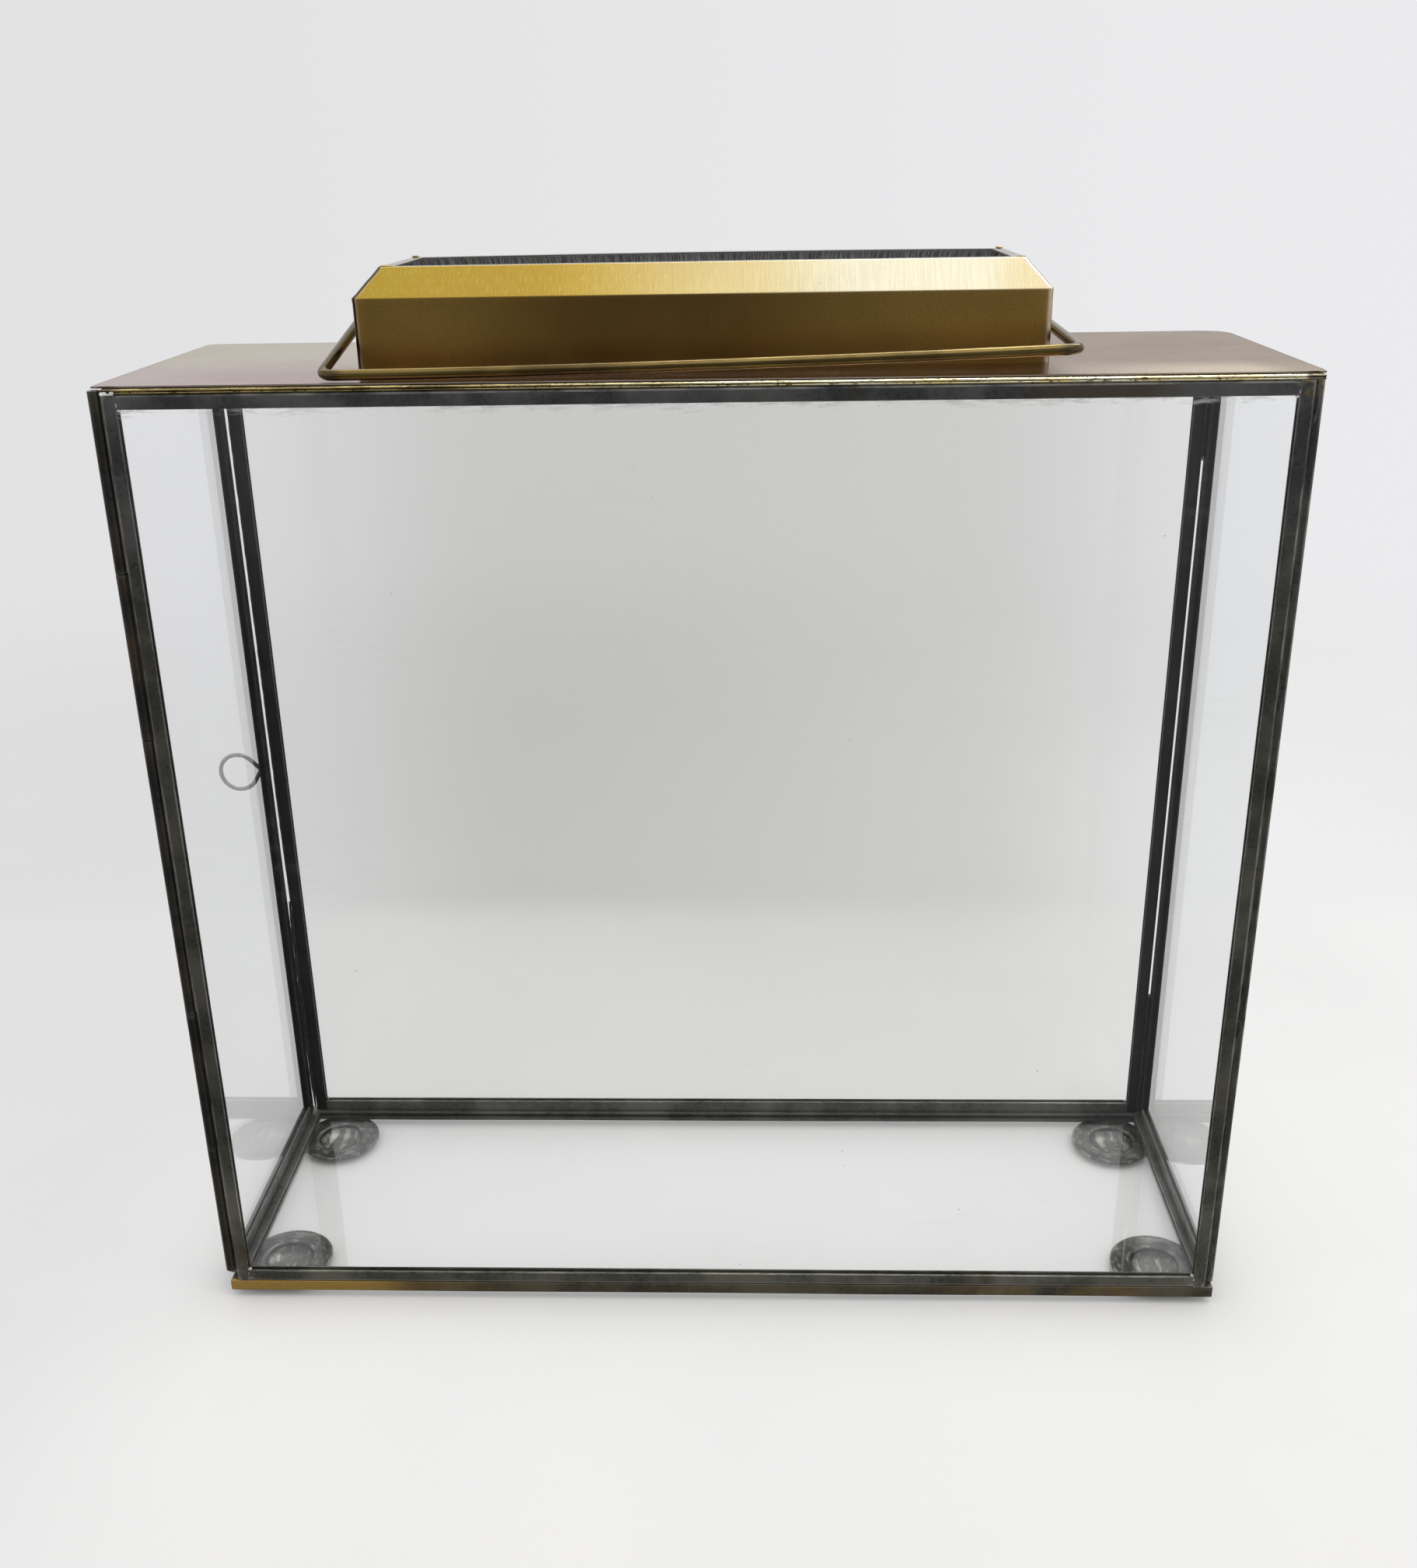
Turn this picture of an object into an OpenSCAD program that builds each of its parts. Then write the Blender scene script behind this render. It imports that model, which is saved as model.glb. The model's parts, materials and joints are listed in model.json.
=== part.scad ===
// Rectangular glass display and plant case: five glazed panels edged with
// folded metal came, a hinged end door, a sheet lid with an open vent box,
// a wire bail handle and four pressed feet. Units are millimetres, +Z is up,
// the front faces -Y and the hinged door is on the -X end.

/* [Case] */
// Width of the front and back panels
case_w = 448; // [380:1:520]
// Depth over the front and back panels
case_d = 146; // [130:1:220]
// Height of the glazed panels
panel_h = 406.3; // [300:0.1:500]

/* [Came and glass] */
// Face width of the folded came strips
came_w = 5.7; // [5:0.1:8]
// Thickness of the upright panels over the came
came_t = 4; // [3.6:0.1:5]
// Thickness of the base panel over the came
base_t = 4.4; // [4:0.1:6]
// Thickness of the glass
glass_t = 2; // [1.6:0.1:2.4]
// Depth of the glass slot in the came
slot_depth = 4.4; // [3:0.1:4.4]
// Gap between the end panel's inner face and the long panels' ends
end_gap = 0.6; // [0.2:0.1:1]

/* [Door and hinge] */
// Gap between the door's ends and the case above and below it
door_gap = 0.8; // [0.5:0.1:1.5]
// Outer diameter of the tubular hinge
hinge_od = 4.6; // [4.2:0.1:5]
// Diameter of the wire hinge pin
pin_d = 2.2; // [1.6:0.1:2.4]
// Distance from the hinge axis to the front panel's left edge
hinge_x_gap = 3; // [2.9:0.1:3.2]
// Distance from the hinge axis to the door's front edge
hinge_y_gap = 2.5; // [2.5:0.1:2.8]
// Height of the upper frame knuckle's lower end above the base panel
upper_knuckle_z = 268.9; // [200:0.1:270]
// Height of the lower frame knuckle's lower end above the base panel
lower_knuckle_z = 73; // [50:0.1:90]
// Length of each frame knuckle
frame_knuckle_l = 68.6; // [40:0.1:70]

/* [Pull ring] */
// Radius of the ring along the middle of its wire
pull_r = 9.15; // [8:0.05:12]
// Diameter of the ring's wire
pull_wire_d = 2.2; // [1.8:0.1:2.6]
// Height of the ring's middle above the base panel
pull_z = 201.5; // [120:0.1:280]
// Distance from the door's outer face to the ring's middle
pull_reach = 11.2; // [11:0.1:12]
// Height of the soldered tip of the loop above the ring's middle
pull_tip_rise = 1.2; // [0:0.1:2]

/* [Lid and vent] */
// Thickness of the lid and vent sheet
sheet_t = 0.8; // [0.6:0.1:1.2]
// Height of the brass strips under the lid
strip_h = 1.9; // [1.6:0.1:3]
// Width of the brass strips under the lid
strip_w = 7; // [6:0.1:8]
// Distance the brass strips stop short of the fixed end's outer face
strip_end_in = 1.5; // [0:0.1:2]
// Distance the lid's edges stand in from the front and back faces
lid_front_inset = 3.5; // [1:0.1:4]
// Width of the vent box at its foot
vent_w = 270; // [200:1:270]
// Depth of the vent box at its foot
vent_d = 85; // [70:1:88]
// Distance of the vent box's middle behind the case's middle
vent_back = 8; // [0:0.5:10]
// Distance of the vent box's middle left of the case's middle
vent_left = 1; // [0:0.5:4]
// Height of the vent box's upright walls
vent_wall_h = 27.1; // [24:0.1:34]
// Height of the sloping part above the upright walls
vent_slope_h = 11.3; // [8:0.1:14]
// Distance the sloping part leans in
vent_slope_in = 9.4; // [7:0.1:12]
// Width of the folded lip round the vent's mouth
vent_lip = 5; // [3:0.1:7]

/* [Bail handle] */
// Diameter of the handle's wire
bail_d = 4.2; // [3.6:0.1:4.6]
// Distance from the pivot axis to the bar across the front
bail_reach = 65; // [60:0.5:66]
// Gap between each arm's middle and the vent's end wall
bail_side = 4.6; // [4:0.1:6]
// Height of the left pivot hole above the lid
pivot_left_h = 16.5; // [14:0.1:17]
// Height of the right pivot hole above the lid
pivot_right_h = 11; // [11:0.1:16]
// Radius of the wire's bends
bail_bend_r = 5; // [4:0.1:6]

/* [Feet] */
// Diameter of the pressed feet
foot_d = 41; // [34:0.5:42]
// Diameter of the dished middle
foot_cup_d = 23.5; // [20:0.5:24]
// Height of the feet
foot_h = 5; // [4:0.1:8]
// Distance from the end of a long panel to a foot's middle
foot_x_in = 17.5; // [17.5:0.1:24]
// Distance from the front or back face to a foot's middle
foot_y_in = 23; // [21:0.1:28]

/* [Hidden] */

// came and glass
slot_edge = 0.4;
corner_r = 0.6;
base_edge = 3.4;
base_z = foot_h;
panel_z = base_z + base_t;
lid_z = panel_z + panel_h + strip_h;
lid_top = lid_z + sheet_t;
end_d = case_d - 2 * came_t;
right_x = case_w / 2 + end_gap;
strip_end_x = right_x + came_t - strip_end_in;

// hinge and door
hinge_x = -case_w / 2 - hinge_x_gap;
hinge_y = -case_d / 2 + hinge_od / 2;
hinge_clear = 0.05;
knuckle_gap = 0.3;
knuckle_top = lid_z - 0.6;
knuckle_bottom = panel_z + 5.2;
web_w = 2.4;
door_x = hinge_x - came_t / 2 - 0.2;
door_y = hinge_y + hinge_y_gap;
door_d = case_d / 2 - came_t - 0.9 - door_y;
door_h = panel_h - door_gap - 0.3;

// pull ring
pull_y = door_y + door_d - came_w / 2;
pull_x = door_x - pull_reach;
pull_mid_z = panel_z + pull_z;

// vent box
vent_y0 = vent_back - vent_d / 2;
vent_y1 = vent_back + vent_d / 2;
fold_z = lid_top + vent_wall_h;
vent_top = fold_z + vent_slope_h;
lean = atan2(vent_slope_in, vent_slope_h);
inner_fold_drop = sheet_t * tan(lean / 2);
inner_top_in = sheet_t * tan((90 - lean) / 2);
throat_margin = 8;
blob_r = 3;

// handle
pivot_slope = (pivot_right_h - pivot_left_h) / vent_w;
arm_x = vent_w / 2 + bail_side;
stub_in = 4.5;
pivot_clear = 0.08;
joint_swell = 1.01;
bend_steps = 5;
wire_sides = 16;
wire_ease = 0.03;
pivot_bend_r = 2.6;
stub_out = 3.4;
stub_lap = 0.5;
bar_drop_left = 2.3;
bar_drop_mid = 3.3;
bar_drop_right = 8;

// the origin lies under the middle of the overall box, pull ring included
left_reach = -(pull_x - pull_r - pull_wire_d / 2);
right_reach = right_x + came_t;
origin_shift = (left_reach - right_reach) / 2;

function unit(v) = v / norm(v);
function pivot_z(x) = lid_top + (pivot_left_h + pivot_right_h) / 2 + x * pivot_slope;
function arc(c, r, a0, a1, n) = [for (i = [0:n]) c + r * [cos(a0 + (a1 - a0) * i / n), sin(a0 + (a1 - a0) * i / n)]];

module place() { translate([origin_shift, 0, 0]) children(); }
module on_vent() { translate([-vent_left, 0, 0]) children(); }

// ---- came strips and glass ----

// U section: its back lies on x = 0 and its slot opens towards +X
module came_section(t) {
    polygon(concat(
        [[came_w, -t / 2], [came_w, -glass_t / 2], [came_w - slot_depth, -glass_t / 2],
         [came_w - slot_depth, glass_t / 2], [came_w, glass_t / 2], [came_w, t / 2]],
        arc([corner_r, t / 2 - corner_r], corner_r, 90, 180, 4),
        arc([corner_r, -t / 2 + corner_r], corner_r, 180, 270, 4)));
}

module came(length, t) { linear_extrude(height = length) came_section(t); }

// one strip or pane of a panel w wide and h high, standing on z = 0 in the XZ plane
module panel_piece(piece, w, h, t, rails_run_full = false) {
    stile_cut = rails_run_full ? came_w : 0;
    rail_cut = rails_run_full ? 0 : came_w;
    pane_in = came_w - slot_depth + slot_edge;
    if (piece == "left")
        translate([0, 0, stile_cut]) came(h - 2 * stile_cut, t);
    if (piece == "right")
        translate([w, 0, stile_cut]) mirror([1, 0, 0]) came(h - 2 * stile_cut, t);
    if (piece == "bottom")
        translate([w - rail_cut, 0, 0]) rotate([0, -90, 0]) came(w - 2 * rail_cut, t);
    if (piece == "top")
        translate([rail_cut, 0, h]) rotate([0, 90, 0]) came(w - 2 * rail_cut, t);
    if (piece == "pane")
        translate([pane_in, -glass_t / 2, pane_in]) cube([w - 2 * pane_in, glass_t, h - 2 * pane_in]);
}

module long_panel_piece(piece, side) {
    translate([-case_w / 2, side * (case_d - came_t) / 2, panel_z])
        panel_piece(piece, case_w, panel_h, came_t);
}

module right_panel_piece(piece) {
    translate([right_x + came_t / 2, -end_d / 2, panel_z]) rotate([0, 0, 90])
        panel_piece(piece, end_d, panel_h, came_t);
}

module door_panel_piece(piece) {
    translate([door_x + came_t / 2, door_y, panel_z + door_gap]) rotate([0, 0, 90])
        panel_piece(piece, door_d, door_h, came_t);
}

module base_panel_piece(piece) {
    w = case_w + 2 * base_edge;
    translate([-w / 2, case_d / 2, base_z + base_t / 2]) rotate([90, 0, 0])
        panel_piece(piece, w, case_d, base_t, true);
}

module came_colour() { color([0.16, 0.16, 0.15]) place() children(); }
module pane_colour() { color([0.85, 0.90, 0.90, 0.25]) place() children(); }
module brass_colour() { color([0.70, 0.58, 0.22]) place() children(); }
module worn_colour() { color([0.30, 0.27, 0.20]) place() children(); }
module pewter_colour() { color([0.48, 0.49, 0.47]) place() children(); }

module front_stile_left() { came_colour() long_panel_piece("left", -1); }
module front_stile_right() { came_colour() long_panel_piece("right", -1); }
module front_rail_top() { came_colour() long_panel_piece("top", -1); }
module front_rail_bottom() { came_colour() long_panel_piece("bottom", -1); }
module front_pane() { pane_colour() long_panel_piece("pane", -1); }

module back_stile_left() { came_colour() long_panel_piece("left", 1); }
module back_stile_right() { came_colour() long_panel_piece("right", 1); }
module back_rail_top() { came_colour() long_panel_piece("top", 1); }
module back_rail_bottom() { came_colour() long_panel_piece("bottom", 1); }
module back_pane() { pane_colour() long_panel_piece("pane", 1); }

module right_stile_front() { came_colour() right_panel_piece("left"); }
module right_stile_back() { came_colour() right_panel_piece("right"); }
module right_rail_top() { came_colour() right_panel_piece("top"); }
module right_rail_bottom() { came_colour() right_panel_piece("bottom"); }
module right_pane() { pane_colour() right_panel_piece("pane"); }

module door_stile_front() { came_colour() door_panel_piece("left"); }
module door_stile_back() { came_colour() door_panel_piece("right"); }
module door_rail_top() { came_colour() door_panel_piece("top"); }
module door_rail_bottom() { came_colour() door_panel_piece("bottom"); }
module door_pane() { pane_colour() door_panel_piece("pane"); }

module base_rail_back() { came_colour() base_panel_piece("bottom"); }
module base_rail_front() { came_colour() base_panel_piece("top"); }
module base_rail_left() { came_colour() base_panel_piece("left"); }
module base_rail_right() { came_colour() base_panel_piece("right"); }
module base_pane() { pane_colour() base_panel_piece("pane"); }

// ---- lid ----

// a flat strip with one groove along its outer edge, outer edge on y = 0
module lid_strip(length) {
    groove = 0.4;
    rotate([90, 0, 90]) linear_extrude(height = length)
        polygon([[0, 0], [strip_w, 0], [strip_w, strip_h], [0, strip_h],
                 [0, strip_h / 2 + groove / 2], [groove, strip_h / 2], [0, strip_h / 2 - groove / 2]]);
}

module lid_strip_front() {
    brass_colour() translate([-case_w / 2, -case_d / 2, lid_z - strip_h])
        lid_strip(case_w / 2 + strip_end_x);
}

module lid_strip_back() {
    brass_colour() translate([-case_w / 2, case_d / 2, lid_z - strip_h]) mirror([0, 1, 0])
        lid_strip(case_w / 2 + strip_end_x);
}

module lid_strip_right() {
    length = case_d - 2 * strip_w;
    brass_colour() translate([strip_end_x, -length / 2, lid_z - strip_h]) rotate([0, 0, 90])
        lid_strip(length);
}

module lid_plate() {
    half_w = right_x + came_t;
    half_d = case_d / 2 - lid_front_inset;
    color([0.66, 0.62, 0.58]) place() difference() {
        translate([-half_w, -half_d, lid_z]) cube([2 * half_w, 2 * half_d, sheet_t]);
        on_vent() translate([-vent_w / 2 + throat_margin, vent_y0 + throat_margin, lid_z - 1])
            cube([vent_w - 2 * throat_margin, vent_d - 2 * throat_margin, sheet_t + 2]);
    }
}

// ---- vent box ----

// half outline of the box with its walls moved in by t, as [distance from middle, height]
module vent_profile(half, t) {
    top_in = t == 0 ? 0 : inner_top_in;
    drop = t == 0 ? 0 : inner_fold_drop;
    z0 = t == 0 ? lid_top : lid_top - 1;
    wall = half - t;
    rim = half - vent_slope_in - top_in;
    polygon([[-wall, z0], [wall, z0], [wall, fold_z - drop], [rim, vent_top - t],
             [-rim, vent_top - t], [-wall, fold_z - drop]]);
}

module vent_solid(t) {
    intersection() {
        translate([0, vent_back + vent_d, 0]) rotate([90, 0, 0])
            linear_extrude(height = 2 * vent_d) vent_profile(vent_w / 2, t);
        translate([-vent_w, vent_back, 0]) rotate([90, 0, 90])
            linear_extrude(height = 2 * vent_w) vent_profile(vent_d / 2, t);
    }
}

module vent_shell() {
    mouth_in = vent_slope_in + vent_lip;
    difference() {
        vent_solid(0);
        vent_solid(sheet_t);
        translate([-vent_w / 2 + mouth_in, vent_y0 + mouth_in, fold_z])
            cube([vent_w - 2 * mouth_in, vent_d - 2 * mouth_in, vent_slope_h + 1]);
    }
}

// plan area of the front sheet between its two 45 degree mitres
module front_region() {
    reach = vent_d / 2;
    translate([0, 0, lid_top - 1]) linear_extrude(height = 60)
        polygon([[-vent_w / 2, vent_y0], [vent_w / 2, vent_y0],
                 [vent_w / 2 - reach, vent_back], [-vent_w / 2 + reach, vent_back]]);
}

module end_region() {
    reach = vent_d / 2;
    translate([0, 0, lid_top - 1]) linear_extrude(height = 60)
        polygon([[-vent_w / 2, vent_y0], [-vent_w / 2 + reach, vent_back], [-vent_w / 2, vent_y1]]);
}

module mirrored_y() { translate([0, vent_back, 0]) mirror([0, 1, 0]) translate([0, -vent_back, 0]) children(); }

// rod along the pivot axis, which drops slightly from left to right
module pivot_rod(x0, x1, r) { rod([x0, 0, pivot_z(x0)], [x1, 0, pivot_z(x1)], r); }

module vent_front() { brass_colour() on_vent() intersection() { vent_shell(); front_region(); } }
module vent_back() { brass_colour() on_vent() intersection() { vent_shell(); mirrored_y() front_region(); } }

module vent_left_end() {
    brass_colour() on_vent() difference() {
        intersection() { vent_shell(); end_region(); }
        pivot_rod(-vent_w / 2 - 5, -vent_w / 2 + 5, bail_d / 2 + pivot_clear);
    }
}

module vent_right_end() {
    brass_colour() on_vent() difference() {
        intersection() { vent_shell(); mirror([1, 0, 0]) end_region(); }
        pivot_rod(vent_w / 2 - 5, vent_w / 2 + 5, bail_d / 2 + pivot_clear);
    }
}

// low solder domes on the four corners of the vent's lip
module vent_solder() {
    sink = blob_r * 0.72;
    blob_in = vent_slope_in + 2.6;
    brass_colour() on_vent() for (sx = [-1, 1], y = [vent_y0 + blob_in, vent_y1 - blob_in])
        translate([sx * (vent_w / 2 - blob_in), y, vent_top]) intersection() {
            translate([0, 0, -sink]) sphere(r = blob_r, $fn = 32);
            translate([-blob_r, -blob_r, 0]) cube(2 * blob_r);
        }
}

// ---- bent wire ----

module rod(a, b, r) {
    d = b - a;
    translate(a) rotate([0, acos(d.z / norm(d)), atan2(d.y, d.x)]) cylinder(h = norm(d), r = r, $fn = 24);
}

// slightly proud ball that fuses two lengths of wire where they meet end to end
module wire_joint(p, r) { translate(p) sphere(r = r * joint_swell, $fn = 32); }

// points along the round bend that joins the straight run p-q to the run q-s
function bend_points(p, q, s, bend) =
    let (u = unit(p - q), v = unit(s - q), a = acos(u * v), c = q + unit(u + v) * bend / sin(a / 2),
         ex = unit(q + u * bend / tan(a / 2) - c))
    [for (i = [0:bend_steps])
        let (turn = (180 - a) * i / bend_steps) c + bend * (cos(turn) * ex - sin(turn) * u)];

// wire through points p with a bend of radius bends[i] at each inner point, or a plain kink where it is 0
function wire_points(p, bends) = [for (i = [0:len(p) - 1])
    each (bends[i] == 0 ? [p[i]] : bend_points(p[i - 1], p[i], p[i + 1], bends[i]))];

// tube of radius r swept along run, a path that stays close to the XY plane
module swept_wire(run, r) {
    n = wire_sides;
    last = len(run) - 1;
    aim = [for (i = [0:last]) unit(run[min(i + 1, last)] - run[max(i - 1, 0)])];
    side = [for (t = aim) unit(cross(t, [0, 0, 1]))];
    points = [for (i = [0:last], k = [0:n - 1])
        let (a = 360 * k / n) run[i] + r * (cos(a) * side[i] + sin(a) * cross(side[i], aim[i]))];
    skin = [for (i = [0:last - 1], k = [0:n - 1])
        let (a = i * n + k, b = i * n + (k + 1) % n)
        each [[a, b, b + n], [a, b + n, a + n]]];
    polyhedron(points, concat(skin, [[for (k = [n - 1:-1:0]) k], [for (k = [0:n - 1]) last * n + k]]));
}

module bail_handle() {
    end_x = vent_w / 2 - stub_in;
    bar = [-bail_reach, -bail_reach + 1, -bail_reach + 2];
    path = [
        [-arm_x + stub_out, 0, pivot_z(-arm_x + stub_out)],
        [-arm_x, 0, pivot_z(-arm_x)],
        [-arm_x - 2, bar[0], lid_top + bar_drop_left],
        [-20, bar[1], lid_top + bar_drop_mid],
        [arm_x + 1.4, bar[2], lid_top + bar_drop_right],
        [arm_x, 0, pivot_z(arm_x)],
        [arm_x - stub_out, 0, pivot_z(arm_x - stub_out)]];
    worn_colour() on_vent() {
        swept_wire(wire_points(path, [0, pivot_bend_r, bail_bend_r, 0, bail_bend_r, pivot_bend_r, 0]),
                   bail_d / 2 - wire_ease);
        for (s = [-1, 1]) pivot_rod(s * end_x, s * (arm_x - stub_out + stub_lap), bail_d / 2);
    }
}

// ---- hinge ----

module knuckle(z0, z1, web_to_door) {
    web_l = web_to_door ? hinge_y_gap : hinge_x_gap;
    translate([hinge_x, hinge_y, z0]) difference() {
        union() {
            cylinder(h = z1 - z0, d = hinge_od, $fn = 48);
            rotate([0, 0, web_to_door ? 90 : 0]) translate([hinge_od * 0.3, -web_w / 2, 0])
                cube([web_l - hinge_od * 0.3, web_w, z1 - z0]);
        }
        translate([0, 0, -1]) cylinder(h = z1 - z0 + 2, d = pin_d + 2 * hinge_clear, $fn = 48);
    }
}

upper_z0 = panel_z + upper_knuckle_z;
lower_z0 = panel_z + lower_knuckle_z;

module door_knuckle_top() {
    worn_colour() knuckle(upper_z0 + frame_knuckle_l + knuckle_gap, knuckle_top, true);
}
module frame_knuckle_upper() { worn_colour() knuckle(upper_z0, upper_z0 + frame_knuckle_l, false); }
module door_knuckle_middle() {
    worn_colour() knuckle(lower_z0 + frame_knuckle_l + knuckle_gap, upper_z0 - knuckle_gap, true);
}
module frame_knuckle_lower() { worn_colour() knuckle(lower_z0, lower_z0 + frame_knuckle_l, false); }
module door_knuckle_bottom() { worn_colour() knuckle(knuckle_bottom, lower_z0 - knuckle_gap, true); }
module hinge_pin() {
    worn_colour() translate([hinge_x, hinge_y, knuckle_bottom - 1])
        cylinder(h = knuckle_top - knuckle_bottom + 1.2, d = pin_d, $fn = 48);
}

// ---- pull ring ----

// wire loop in the XZ plane whose two ends run together on the door's outer face
module pull_ring() {
    mid = [pull_x, pull_y, pull_mid_z];
    tip = [door_x, pull_y, pull_mid_z + pull_tip_rise];
    reach = norm(tip - mid);
    spread = acos(pull_r / reach);
    aim = atan2(tip.z - mid.z, tip.x - mid.x);
    r = pull_wire_d / 2;
    pewter_colour() difference() {
        union() {
            translate(mid) rotate([90, 0, 0]) rotate([0, 0, aim + spread])
                rotate_extrude(angle = 360 - 2 * spread, $fn = 72) translate([pull_r, 0]) circle(r = r, $fn = 24);
            for (s = [-1, 1]) {
                a = aim + s * spread;
                meet = mid + pull_r * [cos(a), 0, sin(a)];
                rod(meet, tip + 2 * unit(tip - meet), r);
                wire_joint(meet, r);
            }
        }
        translate([door_x, pull_y - 5, pull_mid_z - 20]) cube([10, 10, 40]);
    }
}

// ---- solder beads in the outer notches between the long and the right panels ----

module corner_solder() {
    bead = 2.6;
    beads = [[0.6, 14], [panel_h * 0.32, 9], [panel_h * 0.68, 8], [panel_h - 17, 16]];
    pewter_colour() for (sy = [-1, 1], b = beads)
        translate([case_w / 2, sy * end_d / 2, panel_z + b[0]]) mirror([0, sy > 0 ? 1 : 0, 0])
            linear_extrude(height = b[1]) polygon(concat([[0, 0]], arc([0, 0], bead + end_gap, -90, 0, 6)));
}

// ---- feet ----

// turned section of a pressed foot: flat flange with a rolled edge and a dished middle
module foot(x, y) {
    t = 1;
    cup = foot_cup_d / 2;
    flat_r = 4;
    outer = foot_d / 2;
    n = 8;
    bowl = [for (i = [0:n]) [flat_r + (cup - flat_r) * sin(90 * i / n), (foot_h - t) * (1 - cos(90 * i / n))]];
    inner = [for (i = [n:-1:0]) [flat_r - t + (cup - flat_r) * sin(90 * i / n),
                                 t + (foot_h - t) * (1 - cos(90 * i / n))]];
    pewter_colour() translate([x, y, 0]) rotate_extrude($fn = 72)
        polygon(concat([[0, 0]], bowl,
            [[outer - 1.4, foot_h - t], [outer - 1, foot_h - 1.6], [outer - 0.3, foot_h - 1.6],
             [outer, foot_h - 1.2], [outer, foot_h - 0.3], [outer - 0.3, foot_h]], inner, [[0, t]]));
}

foot_x = case_w / 2 - foot_x_in;
foot_y = case_d / 2 - foot_y_in;
module foot_front_left() { foot(-foot_x, -foot_y); }
module foot_front_right() { foot(foot_x, -foot_y); }
module foot_back_left() { foot(-foot_x, foot_y); }
module foot_back_right() { foot(foot_x, foot_y); }

front_stile_left();
front_stile_right();
front_rail_top();
front_rail_bottom();
front_pane();
back_stile_left();
back_stile_right();
back_rail_top();
back_rail_bottom();
back_pane();
right_stile_front();
right_stile_back();
right_rail_top();
right_rail_bottom();
right_pane();
door_stile_front();
door_stile_back();
door_rail_top();
door_rail_bottom();
door_pane();
base_rail_front();
base_rail_back();
base_rail_left();
base_rail_right();
base_pane();
lid_strip_front();
lid_strip_back();
lid_strip_right();
lid_plate();
vent_front();
vent_back();
vent_left_end();
vent_right_end();
vent_solder();
bail_handle();
door_knuckle_top();
door_knuckle_middle();
door_knuckle_bottom();
frame_knuckle_upper();
frame_knuckle_lower();
hinge_pin();
pull_ring();
corner_solder();
foot_front_left();
foot_front_right();
foot_back_left();
foot_back_right();
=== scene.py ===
import json
import math

import bmesh
import bpy
from mathutils import Euler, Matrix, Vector, noise


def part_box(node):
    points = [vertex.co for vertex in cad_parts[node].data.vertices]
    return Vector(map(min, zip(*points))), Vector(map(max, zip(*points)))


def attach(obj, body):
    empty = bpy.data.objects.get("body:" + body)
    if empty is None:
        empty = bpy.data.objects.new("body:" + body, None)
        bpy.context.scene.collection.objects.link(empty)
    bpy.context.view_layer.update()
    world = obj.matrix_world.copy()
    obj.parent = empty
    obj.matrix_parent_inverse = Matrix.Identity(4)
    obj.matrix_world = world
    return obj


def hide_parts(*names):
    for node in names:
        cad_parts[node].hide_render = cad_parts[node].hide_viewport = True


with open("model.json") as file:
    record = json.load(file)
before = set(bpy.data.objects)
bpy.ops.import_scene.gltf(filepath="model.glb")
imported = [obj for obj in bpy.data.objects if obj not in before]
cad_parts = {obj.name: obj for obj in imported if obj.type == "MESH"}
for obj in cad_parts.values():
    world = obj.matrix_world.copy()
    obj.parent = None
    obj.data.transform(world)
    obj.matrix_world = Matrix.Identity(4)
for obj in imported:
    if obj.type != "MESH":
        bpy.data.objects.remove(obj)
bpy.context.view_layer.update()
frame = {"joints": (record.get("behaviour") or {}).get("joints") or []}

MM = 0.001
X, Y, Z = 0, 1, 2


# ---------- mesh helpers ----------

def wander(p, scale, seed=0.0):
    """Smooth noise from -1 to 1 at point p, with features about scale metres long."""
    q = Vector(p) / scale
    return noise.noise(q + Vector((seed * 17.3, seed * 7.1, seed * 3.7)))


def outward_mesh(name, verts, faces, values=()):
    """A mesh whose faces look outwards, with the (label, number for each vertex) attributes in values."""
    mesh = bpy.data.meshes.new(name)
    mesh.from_pydata([tuple(v) for v in verts], [], faces)
    mesh.validate()
    for label, numbers in values:
        if numbers is not None:
            attribute = mesh.attributes.new(label, "FLOAT", "POINT")
            attribute.data.foreach_set("value", [float(number) for number in numbers])
    bm = bmesh.new()
    bm.from_mesh(mesh)
    bmesh.ops.recalc_face_normals(bm, faces=bm.faces)
    bm.to_mesh(mesh)
    bm.free()
    return mesh


def unpack(bm):
    """The points and faces of a bmesh, which is freed."""
    bm.verts.index_update()
    verts = [v.co.copy() for v in bm.verts]
    faces = [tuple(v.index for v in f.verts) for f in bm.faces]
    bm.free()
    return verts, faces


def make_piece(name, verts, faces, material, body, slot, replaced=(), edge=None, uvs=None, sharp=40, zone=None):
    """A finished mesh piece that rides on a CAD body. edge (wear, and on the vent and the feet also painted highlight
    and shade) and zone are values for each vertex.
    """
    mesh = outward_mesh(name, verts, faces, (("edge", edge), ("zone", zone)))
    if uvs is not None:
        layer = mesh.uv_layers.new(name="Grain")
        for loop in mesh.loops:
            layer.data[loop.index].uv = uvs[loop.vertex_index]
    mesh.shade_smooth()
    mesh.set_sharp_from_angle(angle=math.radians(sharp))
    mesh.materials.append(material)
    piece = bpy.data.objects.new(name, mesh)
    bpy.context.scene.collection.objects.link(piece)
    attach(piece, body)
    if replaced:
        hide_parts(*replaced)
    return piece


def loft(rings, capped=True):
    """Quads between successive rings of equal length, with flat end caps."""
    n = len(rings[0])
    last = (len(rings) - 1) * n
    faces = [(a + j, a + (j + 1) % n, a + n + (j + 1) % n, a + n + j)
             for a in range(0, last, n) for j in range(n)]
    if capped:
        faces += [tuple(range(n - 1, -1, -1)), tuple(range(last, last + n))]
    return [p for ring in rings for p in ring], faces


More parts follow.
